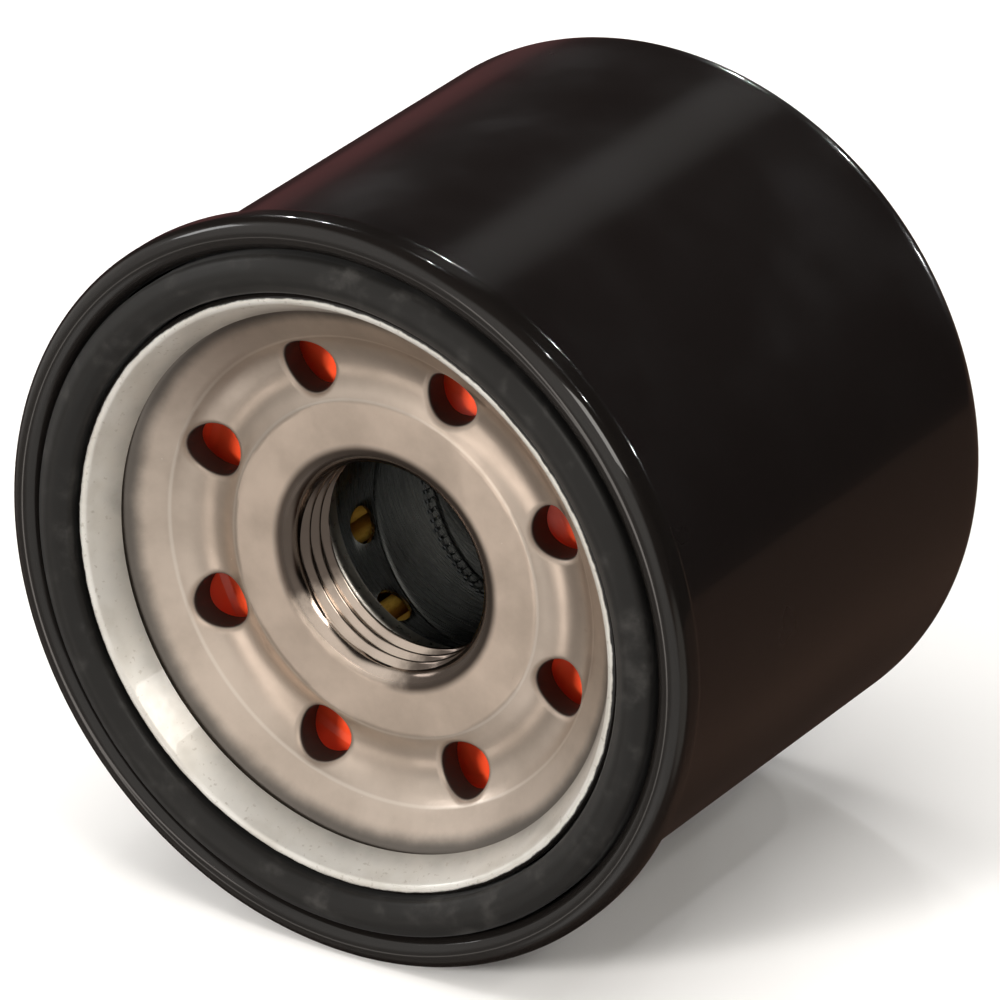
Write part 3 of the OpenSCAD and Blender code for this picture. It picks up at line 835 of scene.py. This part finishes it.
def anti_drain_valve(material):
    """Silicone check valve: a thick collar round the neck, and a thin dished skirt over the inlet holes."""
    collar_r = 12.3
    wall_r = collar_r + 2.2
    back = BOSS_DEPTH + PLATE_T
    floor, skirt_t = back + 2.45, 0.85
    floor_in, floor_out = wall_r + 2.6, VALVE_R - 2.2
    corners = [
        (collar_r, back + 1.3, 0.1), (collar_r, VALVE_FAR, 0.2), (collar_r + 2.1, VALVE_FAR, 0.35),
        (collar_r + 2.5, VALVE_FAR - 1.1, 0.4), (floor_in - 0.5, floor + skirt_t, 0.6),
        (floor_out + 0.7, floor + skirt_t, 0.6), (VALVE_R, VALVE_NEAR + 0.6, 0.2), (VALVE_R - 0.4, VALVE_NEAR, 0.25),
        (floor_out, floor - 0.35, 0.3), (floor_out - 0.6, floor, 0.6), (floor_in, floor, 0.8),
        (floor_in - 0.9, floor - 0.3, 0.8), (wall_r, back + 0.9, 0.5), (wall_r - 0.3, back + 0.35, 0.3),
        (collar_r + 1, back + 0.35, 0.2),
    ]
    return turned("anti_drain_skirt", rounded(corners, 8), material, sharp=60)


# The element

def end_caps(material):
    """The two pressed caps, with rounded flanges."""
    t, flange = 0.5, 3
    flange_r = TUBE_IN_R - 0.05
    near = [
        (flange_r - t, CAP_NEAR, 0.8), (CAP_R, CAP_NEAR, 0.45),
        (CAP_R, CAP_NEAR + flange, 0.1), (CAP_R - t, CAP_NEAR + flange, 0.1), (CAP_R - t, CAP_NEAR + t, 0.1),
        (flange_r, CAP_NEAR + t, 0.1), (flange_r, CAP_NEAR + 1.7, 0.08), (flange_r - t, CAP_NEAR + 1.7, 0.2),
    ]
    port_r = SEAT_R - 1.0
    far = [
        (port_r, CAP_FAR - t, 0.1), (CAP_R - t, CAP_FAR - t, 0.1), (CAP_R - t, CAP_FAR - flange, 0.1),
        (CAP_R, CAP_FAR - flange, 0.1), (CAP_R, CAP_FAR, 0.45), (port_r, CAP_FAR, 0.15),
    ]
    return (turned("lower_cap", rounded(near, 8), material), turned("upper_cap", rounded(far), material))


def bonds(material):
    """Compound in each cap, with a slight meniscus against the flange and the tube."""
    made = []
    inner, outer = TUBE_OUT_R + 0.05, CAP_R - 0.55
    for name, wet, free in (("lower_bond_layer", CAP_NEAR + 0.5, PAPER_NEAR),
                            ("upper_bond_layer", CAP_FAR - 0.5, PAPER_FAR)):
        corners = [(inner, wet, 0.05), (outer, wet, 0.05), (outer, free, 0.25), (inner, free, 0.25)]
        made.append(turned(name, rounded(corners), material, sharp=60))
    return made


def fold_path():
    """The paper's middle line as (x, z): to and fro round the tube, with its two ends side by side."""
    inner, outer, end_gap, end_r = 13.1, 26.0, 0.27, 20.0
    fold = 0.4
    step = (360 - SEAM_GAP) / PLEATS

    def polar(r, degrees):
        return Vector((r * math.cos(math.radians(degrees)), r * math.sin(math.radians(degrees))))

    def bend(middle_angle, radius, outward):
        """A half-round fold whose crest is at radius."""
        centre = polar(radius - fold * outward, middle_angle)
        facing = 0 if outward > 0 else 180
        return [centre + polar(fold, middle_angle + facing + turn * outward) for turn in range(-90, 91, 30)]

    def wall(start, end, pieces=5):
        return [start.lerp(end, k / pieces) for k in range(1, pieces)]

    path = [Vector((end_r, end_gap)), Vector((inner + 0.4, end_gap))]
    for k in range(PLEATS):
        middle = SEAM_GAP / 2 + (k + 0.5) * step
        crest = bend(middle, outer, 1)
        path += wall(path[-1], crest[0]) + crest
        if k < PLEATS - 1:
            root = bend(middle + step / 2, inner, -1)
            path += wall(crest[-1], root[0]) + root
    last = Vector((inner + 0.4, -end_gap))
    path += wall(path[-1], last) + [last, Vector((end_r, -end_gap))]
    return [tuple(p) for p in path]


def pleated_media(material):
    """One strip of paper in forty rounded pleats, each wall bowed a little."""
    outline = []
    path = fold_path()
    sides = [[], []]
    for i, point in enumerate(path):
        a = Vector(path[max(i, 1)]) - Vector(path[max(i, 1) - 1])
        b = Vector(path[min(i, len(path) - 2) + 1]) - Vector(path[min(i, len(path) - 2)])
        mitre = (Vector((-a.y, a.x)).normalized() + Vector((-b.y, b.x)).normalized()).normalized()
        for side, sign in zip(sides, (1, -1)):
            side.append(Vector(point) + mitre * sign * PAPER_T / 2)
    outline = [(p.x, p.y) for p in sides[0] + sides[1][::-1]]

    def bow(point, share):
        x, z = point
        r, turn = math.hypot(x, z), math.atan2(z, x)
        amount = 0.05 * math.sin(7 * math.pi * share + 9 * turn) * min(1, max(0, (26 - r) / 3)) * min(1, (r - 13) / 3)
        return x - amount * math.sin(turn), z + amount * math.cos(turn)

    points, faces = extruded(outline, PAPER_NEAR, PAPER_FAR, 16, bow)
    count = len(outline)
    half = count // 2
    top = 16 * count
    for i in range(half - 1):
        faces.append((i, i + 1, count - 2 - i, count - 1 - i))
        faces.append((top + i, top + i + 1, top + count - 2 - i, top + count - 1 - i))
    return make_piece("pleated_paper", points, faces, material, 50)


def media_seam_clip(material):
    """Folded steel strip that grips the paper's two ends."""
    t = 0.35
    middle = 0.27 + PAPER_T / 2 + 0.05 + t / 2
    start, fold = 15.0, 20.3 + t / 2
    path = [(start, middle), (fold - middle * 0.6, middle)]
    path += arc((fold - middle * 0.6, 0), middle, 90, -90, 10)[1:]
    path += [(start, -middle)]
    outline = sheet(path, t)
    points, faces = extruded(outline, PAPER_NEAR + 0.1, PAPER_FAR - 0.1)
    count, half = len(outline), len(outline) // 2
    for i in range(half - 1):
        faces.append((i, i + 1, count - 2 - i, count - 1 - i))
        faces.append((count + i, count + i + 1, 2 * count - 2 - i, 2 * count - 1 - i))
    return make_piece("paper_clip", points, faces, material, 35)


def centre_tube(material):
    """Tube wound from a strip: holes along its middle, an embossed line beside them, and a toothed lock seam."""
    cells = 22
    patch = 6
    hole_ring = 4
    reach_v = 1.8
    turn_step = TUBE_HOLE_STEP / cells
    rows_v = [reach_v * j / patch for j in range(-patch, patch + 1)]
    edge = TUBE_LEAD / 2
    beyond = [1.9, 2.0, 2.1, 2.7, 3.4, 4.3, 5.3, 6.3, 7.3, 8.2, 8.8, 9.0, 9.14, 9.28, 9.5, edge]
    rows_v = [-v for v in beyond[::-1]] + rows_v + beyond
    middle_row = len(rows_v) // 2
    first = math.ceil((TUBE_NEAR - edge - TUBE_HOLE_DEPTH) / TUBE_LEAD * 360 / turn_step)
    last = math.floor((TUBE_FAR + edge - TUBE_HOLE_DEPTH) / TUBE_LEAD * 360 / turn_step) + 1
    slope = TUBE_LEAD / (2 * math.pi * TUBE_IN_R)
    margin = TUBE_HOLE_R + 1.1

    def open_hole(k):
        depth = TUBE_HOLE_DEPTH + k * TUBE_LEAD * TUBE_HOLE_STEP / 360
        return TUBE_NEAR + margin <= depth <= TUBE_FAR - margin

    def emboss(v):
        """Height of the strip's embossed lines towards the axis."""
        first_line = max(0, 1 - abs(v - 2.0) / 0.1)
        second_line = max(0, 1 - abs(v + 9.14) / 0.14)
        return max(0.05 * first_line, 0.09 * second_line)

    points, hole_cells = [], set()
    for wall, radius in enumerate((TUBE_IN_R, TUBE_OUT_R)):
        for i in range(first, last + 1):
            k = round(i / cells)
            near = i - k * cells
            for j, v in enumerate(rows_v):
                across, along = v, near * math.radians(turn_step) * TUBE_IN_R
                rank = max(abs(near), abs(j - middle_row))
                lift = 0.0
                if open_hole(k) and rank < patch:
                    rise = along * slope + v
                    size = math.hypot(along, rise) or 1.0
                    ring_r = TUBE_HOLE_R + (0.12 if rank == hole_ring + 1 else 0.0)
                    lift = 0.06 if rank == hole_ring and wall == 0 else 0.0
                    along, rise = along / size * ring_r, rise / size * ring_r
                    across = rise - along * slope
                angle = TUBE_HOLE_ANGLE + k * TUBE_HOLE_STEP + math.degrees(along / TUBE_IN_R)
                depth = TUBE_HOLE_DEPTH + TUBE_LEAD * (angle - TUBE_HOLE_ANGLE) / 360 + across
                depth = min(max(depth, TUBE_NEAR), TUBE_FAR)
                shape = lift - emboss(across) if wall == 0 else -emboss(across) * 0.5
                points.append(place(radius + shape, angle, depth))
                if wall == 0 and open_hole(k) and rank < hole_ring:
                    hole_cells.add((i - first, j))
    columns, rows = last - first + 1, len(rows_v)
    other = columns * rows
    faces, border = [], {}
    for i in range(columns - 1):
        for j in range(rows - 1):
            corners = [(i, j), (i + 1, j), (i + 1, j + 1), (i, j + 1)]
            if any(c in hole_cells for c in corners):
                continue
            quad = [c[0] * rows + c[1] for c in corners]
            faces.append(tuple(quad))
            faces.append(tuple(q + other for q in reversed(quad)))
            for a, b in zip(quad, quad[1:] + quad[:1]):
                border[(a, b)] = (b, a) not in border and not border.pop((b, a), False)
    for (a, b), lone in border.items():
        if lone and (b, a) not in border:
            faces.append((b, a, a + other, b + other))
    for part_points, part_faces in lock_seam(slope):
        start = len(points)
        points += part_points
        faces += [tuple(start + q for q in face) for face in part_faces]
    return make_piece("spiral_tube", points, faces, material, 40)


def lock_seam(slope):
    """The folded seam between turns of the strip, as a low helical rib, and its row of teeth."""
    edge = TUBE_LEAD / 2
    start = (TUBE_NEAR - edge - TUBE_HOLE_DEPTH) / TUBE_LEAD * 360 + TUBE_HOLE_ANGLE
    turns = (TUBE_FAR - TUBE_NEAR) / TUBE_LEAD * 360
    inner, outer = TUBE_IN_R - 0.14, TUBE_OUT_R + 0.1
    section = [(inner + 0.1, -0.5), (inner, -0.38), (inner, 0.38), (inner + 0.1, 0.5),
               (outer - 0.08, 0.5), (outer, 0.4), (outer, -0.4), (outer - 0.08, -0.5)]

    def depth_at(angle):
        return TUBE_HOLE_DEPTH + edge + TUBE_LEAD * (angle - TUBE_HOLE_ANGLE) / 360

    rib, steps = [], int(turns / 2)
    for i in range(steps + 1):
        angle = start + turns * i / steps
        for r, across in section:
            depth = min(max(depth_at(angle) + across, TUBE_NEAR), TUBE_FAR)
            rib.append(place(r, angle, depth))
    faces = grid_faces(steps + 1, len(section), False, True)
    faces.append(tuple(range(len(section))))
    faces.append(tuple(range(steps * len(section), (steps + 1) * len(section))))
    parts = [(rib, faces)]
    pitch = 0.83
    count = int(math.radians(turns) * TUBE_IN_R / pitch)
    for k in range(count):
        angle = start + math.degrees((k + 0.5) * pitch / TUBE_IN_R)
        if TUBE_NEAR + 1.6 < depth_at(angle) < TUBE_FAR - 1.6:
            parts.append(tooth(angle, depth_at(angle), inner))
    return parts


def tooth(angle, depth, radius):
    """One small bevelled tooth on the seam's inner side."""
    half_turn = math.degrees(0.15 / TUBE_IN_R)
    points = []
    for r, share in ((radius + 0.06, 1.0), (radius - 0.12, 1.0), (radius - 0.2, 0.7)):
        for u, v in ((-1, -1), (1, -1), (1, 1), (-1, 1)):
            across = v * 0.5 * share - 0.2
            points.append(place(r, angle + u * half_turn * share, depth + across))
    faces = grid_faces(3, 4, False, True)
    return points, faces + [(0, 1, 2, 3), (8, 9, 10, 11)]


# The bypass valve

def bypass_seat(material):
    """Stamped ring set in the cap's port, with a turned-down lip that the seal meets."""
    t = 0.5
    lip_r, wall_r = 5.6, SEAT_R - 1.2
    shelf = SEAT_NEAR + 0.4
    corners = [
        (lip_r, SEAT_NEAR, 0.12), (lip_r + t, SEAT_NEAR, 0.12), (lip_r + t, shelf, 0.1), (wall_r, shelf, 0.1),
        (wall_r, CAP_FAR, 0.1), (SEAT_R, CAP_FAR, 0.1), (SEAT_R, SEAT_FAR, 0.12), (wall_r - t, SEAT_FAR, 0.4),
        (wall_r - t, shelf + t, 0.3), (lip_r, shelf + t, 0.25),
    ]
    return turned("bypass_seat_ring", rounded(corners), material)


def bypass_cage(material):
    """Cup that guides the disc and holds the spring's foot, with four windows in its wall."""
    t, vent_r, wall_r = 0.5, 2.0, CAGE_R - 0.5
    outline = [(vent_r, CAGE_NEAR)] + arc((wall_r - 0.8, CAGE_NEAR + 0.8), 0.8, -90, 0, 6)
    window = (CAGE_NEAR + 1.5, CAGE_NEAR + 7.5)
    outline += [(wall_r, window[0]), (wall_r, window[1]), (wall_r, CAGE_FAR - t), (CAGE_R, CAGE_FAR - t)]
    outline += [(CAGE_R, CAGE_FAR), (wall_r - t, CAGE_FAR), (wall_r - t, window[1]), (wall_r - t, window[0])]
    outline += arc((wall_r - 0.8, CAGE_NEAR + 0.8), 0.3, 0, -90, 4) + [(vent_r, CAGE_NEAR + t)]
    piece = turned("bypass_cage_cup", outline, material, 240)
    bm = bmesh.new()
    bm.from_mesh(piece.data)
    low, high = window
    half_width = math.degrees(math.asin(2.75 / wall_r))

    def in_window(face):
        c = face.calc_center_median()
        turn = math.degrees(math.atan2(-c.z, c.x)) % 90 - 45
        on_wall = math.hypot(c.x, c.z) > (wall_r - t - 0.1) * MM
        return on_wall and low * MM < c.y < high * MM and abs(turn) < half_width

    bmesh.ops.delete(bm, geom=[f for f in bm.faces if in_window(f)], context="FACES")
    rims = [e for e in bm.edges if e.is_boundary]
    bridge_windows(bm, rims)
    bmesh.ops.recalc_face_normals(bm, faces=bm.faces)
    bm.to_mesh(piece.data)
    bm.free()
    piece.data.shade_smooth()
    piece.data.set_sharp_from_angle(angle=math.radians(35))
    return piece


def bridge_windows(bm, rims):
    """Joins each window's outer edge to its inner one."""
    groups = {}
    for e in rims:
        c = (e.verts[0].co + e.verts[1].co) / 2
        groups.setdefault(int((math.degrees(math.atan2(-c.z, c.x)) % 360) // 90), []).append(e)
    for edges in groups.values():
        bmesh.ops.bridge_loops(bm, edges=edges)


def bypass_poppet(seal_rubber, steel):
    """The seal, the disc with its spigot, and the rivet that clamps them."""
    rivet_r, hole_r, spigot_r = 1.45, 1.5, 3.4
    seal = [(hole_r, SEAL_NEAR, 0.05), (SEAL_R, SEAL_NEAR, 0.15), (SEAL_R, SEAL_FAR, 0.25), (hole_r, SEAL_FAR, 0.05)]
    top, foot = DISC_FAR, DISC_NEAR
    step = foot + 0.8
    disc = [(hole_r, top, 0.05), (DISC_R, top, 0.15), (DISC_R, step, 0.2), (spigot_r, step, 0.15),
            (spigot_r - 0.4, foot, 0.25), (hole_r, foot, 0.05)]
    head = RIVET_FAR - 0.6
    rivet = [(0, RIVET_NEAR, 0), (1.8, RIVET_NEAR, 0.3), (2.2, foot, 0.1), (rivet_r, foot, 0), (rivet_r, head, 0),
             (2.6, head, 0.1), (2.2, head + 0.45, 0.3), (0, RIVET_FAR, 0)]
    return (turned("bypass_seal_washer", rounded(seal), seal_rubber, 128),
            turned("bypass_disc_plate", rounded(disc), steel, 160),
            turned("bypass_rivet_head", rounded(rivet), steel, 96))


def bypass_spring(material):
    """Coil with closed end turns between the cage's floor and the disc."""
    foot, head = SPRING_NEAR + WIRE_R, SPRING_FAR - WIRE_R
    dead = 0.8 / COIL_TURNS
    slow = 2 * WIRE_R * 1.02 * COIL_TURNS * dead

    def rise(u):
        if u < dead:
            return slow * u / dead
        if u > 1 - dead:
            return head - foot - slow * (1 - u) / dead
        return slow + (head - foot - 2 * slow) * (u - dead) / (1 - 2 * dead)

    steps = COIL_TURNS * 48
    line = [place(COIL_R, 360 * COIL_TURNS * i / steps, foot + rise(i / steps)) for i in range(steps + 1)]
    points, faces = swept(line, WIRE_R * MM, 14)
    return make_piece("bypass_coil", points, faces, material, 60)


def support_spring(material):
    """Spider spring between the upper cap and the dome: a flat ring whose four leaves bow up to the can."""
    t, leaf_half, leaves = 0.6, 4.0, 4
    middle = LEAF_NEAR + t / 2
    ring_in, ring_out, bend, toe_bend, rise = 11.3, 15.3, 3.0, 2.0, 4.2
    knee = (17.0, middle + bend)
    knee_end = (knee[0] + bend * math.cos(math.radians(-45)), knee[1] + bend * math.sin(math.radians(-45)))
    toe = (knee_end[0] + rise + toe_bend * math.cos(math.radians(-45)),
           knee_end[1] + rise + toe_bend * math.sin(math.radians(-45)))
    path = [(ring_out, middle)] + arc(knee, bend, -90, -45, 8) + arc(toe, toe_bend, 135, 60, 10)
    half_turn = math.degrees(math.asin(leaf_half / ring_out))
    per_leaf, between = 10, 14
    bm = bmesh.new()

    def vertex(x, z, depth):
        return bm.verts.new((x * MM, depth * MM, -z * MM))

    angles = []
    for k in range(leaves):
        centre = (k + 0.5) * 360 / leaves
        gap = 360 / leaves - 2 * half_turn
        angles += [centre - half_turn + 2 * half_turn * i / per_leaf for i in range(per_leaf)]
        angles += [centre + half_turn + gap * i / between for i in range(between)]
    radii = [ring_in + (ring_out - ring_in) * i / 4 for i in range(5)]
    rings = [[vertex(r * math.cos(math.radians(a)), r * math.sin(math.radians(a)), middle) for a in angles] for r in radii]
    count = len(angles)
    for a, b in zip(rings, rings[1:]):
        for j in range(count):
            n = (j + 1) % count
            bm.faces.new((a[j], a[n], b[n], b[j]))
    for k in range(leaves):
        centre = math.radians((k + 0.5) * 360 / leaves)
        start = k * (per_leaf + between)
        previous = [rings[-1][(start + i) % count] for i in range(per_leaf + 1)]
        for row, (r, depth) in enumerate(path[1:]):
            tip = max(0, row - (len(path) - 6)) / 5
            width = leaf_half * (1 - 0.25 * tip ** 2)
            this = []
            for i in range(per_leaf + 1):
                across = width * (2 * i / per_leaf - 1)
                this.append(vertex(r * math.cos(centre) - across * math.sin(centre),
                                   r * math.sin(centre) + across * math.cos(centre), depth))
            for i in range(per_leaf):
                bm.faces.new((previous[i], previous[i + 1], this[i + 1], this[i]))
            previous = this
    bmesh.ops.recalc_face_normals(bm, faces=bm.faces)
    mesh = bpy.data.meshes.new("leaf_spider")
    bm.to_mesh(mesh)
    bm.free()
    mesh.materials.append(material)
    piece = bpy.data.objects.new("leaf_spider", mesh)
    bpy.context.scene.collection.objects.link(piece)
    thick = piece.modifiers.new("thickness", "SOLIDIFY")
    thick.thickness = t * MM
    thick.offset = 0
    thick.use_even_offset = True
    edge = piece.modifiers.new("edge", "BEVEL")
    edge.width = 0.08 * MM
    edge.segments = 2
    edge.limit_method = "ANGLE"
    edge.angle_limit = math.radians(50)
    return apply_modifiers(piece, 40)


def apply_modifiers(piece, sharp):
    """The piece's mesh as its modifiers leave it, smooth-shaded."""
    bpy.context.view_layer.update()
    graph = bpy.context.evaluated_depsgraph_get()
    piece.data = bpy.data.meshes.new_from_object(piece.evaluated_get(graph))
    piece.modifiers.clear()
    piece.data.shade_smooth()
    piece.data.set_sharp_from_angle(angle=math.radians(sharp))
    return piece


def build_filter():
    """Every piece, its material, and the body that it rides."""
    black, lid = gloss_black(), seam_finish()
    add_piece(shell(black), "can", "shell")
    add_piece(seaming_lid(lid), "can", "seaming_lid")
    add_piece(seam_compound(plain_compound()), "can", "seam_compound")
    nitrile = rubber("nitrile_rubber", (0.007, 0.0065, 0.006), (0.032, 0.030, 0.028), 0.42, 0.5)
    add_piece(gasket(nitrile), "can", "gasket")
    add_piece(base_plate(pressed_steel()), "can", "base_plate")

    valve = add_piece(anti_drain_valve(silicone()), None, "anti_drain_valve")
    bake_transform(valve)

    tinned = bright_steel("tinned_cap", (0.72, 0.70, 0.65), (0.60, 0.57, 0.52), 0.34, 0.4)
    lower_cap, upper_cap = end_caps(tinned)
    add_piece(lower_cap, "element", "lower_end_cap")
    add_piece(upper_cap, "element", "upper_end_cap")
    bond = rubber("bonding_compound", (0.62, 0.52, 0.34), (0.5, 0.4, 0.25), 0.6, 0.8)
    lower_bond, upper_bond = bonds(bond)
    add_piece(lower_bond, "element", "lower_bond")
    add_piece(upper_bond, "element", "upper_bond")
    add_piece(pleated_media(filter_paper()), "element", "pleated_media")
    clip_steel = bright_steel("clip_strip", (0.66, 0.66, 0.67), (0.54, 0.54, 0.55), 0.3, 0.3, (1, 0.1, 1))
    add_piece(media_seam_clip(clip_steel), "element", "media_seam_clip")
    add_piece(centre_tube(rolled_strip()), "element", "centre_tube")

    stamped = bright_steel("stamped_valve_steel", (0.68, 0.67, 0.64), (0.55, 0.54, 0.5), 0.32, 0.35)
    add_piece(bypass_seat(stamped), "element", "bypass_seat")
    add_piece(bypass_cage(stamped), "element", "bypass_cage")
    seal_rubber = rubber("seal_rubber", (0.014, 0.014, 0.015), (0.045, 0.043, 0.04), 0.5, 0.4)
    seal, disc, rivet = bypass_poppet(seal_rubber, stamped)
    add_piece(seal, "bypass_poppet", "bypass_seal")
    add_piece(disc, "bypass_poppet", "bypass_disc")
    add_piece(rivet, "bypass_poppet", "bypass_rivet")
    wire = bright_steel("spring_wire", (0.5, 0.5, 0.52), (0.38, 0.38, 0.4), 0.28, 0.25)
    coil = add_piece(bypass_spring(wire), "element", "bypass_spring")
    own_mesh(coil)
    blued = bright_steel("blued_leaf", (0.36, 0.37, 0.41), (0.25, 0.26, 0.3), 0.32, 0.5)
    leaf = add_piece(support_spring(blued), "can", "support_spring")
    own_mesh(leaf)


# The studio

def studio_floor():
    """A plain pale floor that the rim's lowest point stands on."""
    size = 3.0
    mesh = bpy.data.meshes.new("floor")
    mesh.from_pydata([(-size, -size, RIM_LOW), (size, -size, RIM_LOW), (size, size, RIM_LOW), (-size, size, RIM_LOW)],
                     [], [(0, 1, 2, 3)])
    mesh.materials.append(pale_floor())
    floor = bpy.data.objects.new("floor", mesh)
    bpy.context.scene.collection.objects.link(floor)
    floor.visible_glossy = False


def softbox(name, towards, distance, size, power, colour=(1, 1, 1), mirrored=True):
    """An area light that lies in a direction from the filter and faces it."""
    data = bpy.data.lights.new(name, "AREA")
    data.shape = "RECTANGLE"
    data.size, data.size_y = size
    data.energy = power
    data.color = colour
    lamp = bpy.data.objects.new(name, data)
    middle = (Vector(cad_bounds[0]) + Vector(cad_bounds[1])) / 2
    lamp.location = middle + Vector(towards).normalized() * distance
    lamp.rotation_euler = (middle - lamp.location).to_track_quat("-Z", "Y").to_euler()
    lamp.visible_glossy = mirrored
    bpy.context.scene.collection.objects.link(lamp)
    return lamp


SIGHT = Vector((0.489, -0.754, 0.438))
# Where each small lamp glints on the black edges: degrees round the axis, and the paint's tilt there
GLINTS = ((260, -10), (266, -10), (284, -10), (306, -10), (314, -10), (284, 12), (305, 12), (324, 12))


def studio_lights():
    """A soft key, a front light, a window at the left, a light for the floor, and small lamps behind."""
    softbox("key", (0.72, -0.34, 0.62), 1.2, (0.45, 0.45), 4.3, (1.0, 0.96, 0.9))
    softbox("front", (-0.23, -0.91, 0.34), 1.2, (0.25, 0.25), 15, (1.0, 0.98, 0.95), mirrored=False)
    softbox("window", (-0.85, -0.32, 0.42), 1.2, (0.22, 0.3), 1.2, (1.0, 1.0, 1.0))
    softbox("overhead", (0.0, -0.1, 1.0), 1.6, (1.6, 1.2), 24, (1.0, 0.99, 0.97), mirrored=False)
    for number, (angle, tilt) in enumerate(GLINTS):
        turn, lean = math.radians(angle), math.radians(tilt)
        facing = Vector((math.cos(turn) * math.cos(lean), math.sin(lean), -math.sin(turn) * math.cos(lean)))
        towards = 2 * facing.dot(SIGHT) * facing - SIGHT
        softbox(f"glint_{number}", towards, 1.2, (0.028, 0.028), 0.7)


# Direction, full and fading edges in degrees, and colour, each laid over the ones before it
ROOM_PATCHES = (
    ((-0.75, 0.60, -0.30), 20, 34, (0.035, 0.018, 0.018)),
    ((-0.25, -0.93, -0.20), 40, 70, (0.34, 0.33, 0.31)),
    ((-0.60, -0.65, 0.45), 18, 40, (0.86, 0.84, 0.80)),
    ((-0.95, -0.25, -0.05), 14, 34, (0.60, 0.58, 0.55)),
    ((0.90, -0.10, -0.42), 14, 28, (0.58, 0.54, 0.48)),
    ((0.45, -0.78, -0.42), 16, 34, (0.76, 0.74, 0.70)),
    ((-0.65, -0.30, -0.70), 14, 34, (0.22, 0.20, 0.18)),
    ((-0.05, -0.70, -0.70), 6, 19, (0.95, 0.92, 0.88)),
    ((0.35, -0.85, 0.38), 22, 40, (0.92, 0.89, 0.84)),
    ((-0.35, 0.35, -0.87), 20, 42, (0.025, 0.018, 0.015)),
    ((-0.17, 0.78, 0.60), 1, 9, (0.22, 0.215, 0.205)),
    ((-0.62, 0.76, -0.10), 1, 9, (0.13, 0.05, 0.05)),
)


def patch(tree, where, base, towards, inner, outer, colour):
    """Adds a soft round patch of colour to the room, with its full and fading edges in degrees."""
    node = tree.nodes.new("ShaderNodeVectorMath")
    node.operation = "DOT_PRODUCT"
    node.inputs[1].default_value = Vector(towards).normalized()
    tree.links.new(where, node.inputs[0])
    near, far = math.cos(math.radians(inner)), math.cos(math.radians(outer))
    share = ramp(tree, node.outputs["Value"], 0, 1, far, near)
    return mix(tree, share, base, colour)


def strip_light(tree, where, base):
    """Adds the thin curved strip of light that draws the long highlight on the rim's right side."""
    parts = tree.nodes.new("ShaderNodeSeparateXYZ")
    tree.links.new(where, parts.inputs[0])
    bow = tree.nodes.new("ShaderNodeVectorMath")
    bow.operation = "DOT_PRODUCT"
    bow.inputs[1].default_value = (0.645, 0.764, 0)
    tree.links.new(where, bow.inputs[0])
    off = math_node(tree, "ABSOLUTE", math_node(tree, "ADD", bow.outputs["Value"], 0.888))
    share = ramp(tree, off, 1, 0, 0.012, 0.026)
    share = math_node(tree, "MULTIPLY", share, ramp(tree, parts.outputs[0], 0, 1, -0.55, -0.42))
    share = math_node(tree, "MULTIPLY", share, ramp(tree, parts.outputs[2], 1, 0, 0.18, 0.28))
    return mix(tree, share, base, (4.0, 3.7, 3.4))


def studio_world():
    """A dim room: a warm table in front, a darker one behind that ends at a straight edge, and dark above."""
    world = bpy.data.worlds.new("room")
    world.use_nodes = True
    tree = world.node_tree
    background = tree.nodes["Background"]
    where = tree.nodes.new("ShaderNodeTexCoord").outputs["Generated"]
    table = tree.nodes.new("ShaderNodeVectorMath")
    table.operation = "DOT_PRODUCT"
    table.inputs[1].default_value = (0.135, 0.173, 0.975)
    tree.links.new(where, table.inputs[0])
    below = ramp(tree, table.outputs["Value"], 1, 0, -0.02, 0.004)
    room = mix(tree, below, (0.014, 0.011, 0.010), (0.10, 0.06, 0.043))
    for towards, inner, outer, colour in ROOM_PATCHES:
        room = patch(tree, where, room, towards, inner, outer, colour)
    tree.links.new(strip_light(tree, where, room), background.inputs["Color"])
    background.inputs["Strength"].default_value = 1.0
    bpy.context.scene.world = world


def camera():
    """The photograph's viewing direction, from far off with a long lens."""
    azimuth, elevation, distance, lens = 33.0, 26.0, 0.865, 373.9
    aim = Vector((0.00956, 0.01074, 0.00779))
    a, e = math.radians(azimuth), math.radians(elevation)
    back = Vector((math.sin(a) * math.cos(e), -math.cos(a) * math.cos(e), math.sin(e)))
    data = bpy.data.cameras.new("camera")
    data.lens = lens
    data.sensor_width = 36
    view = bpy.data.objects.new("camera", data)
    view.location = aim + back * distance
    view.rotation_euler = (-back).to_track_quat("-Z", "Y").to_euler()
    bpy.context.scene.collection.objects.link(view)
    bpy.context.scene.camera = view


def colour_settings():
    bpy.context.scene.view_settings.view_transform = "Standard"
    bpy.context.scene.view_settings.look = "None"


build_filter()
studio_floor()
studio_lights()
studio_world()
camera()
colour_settings()
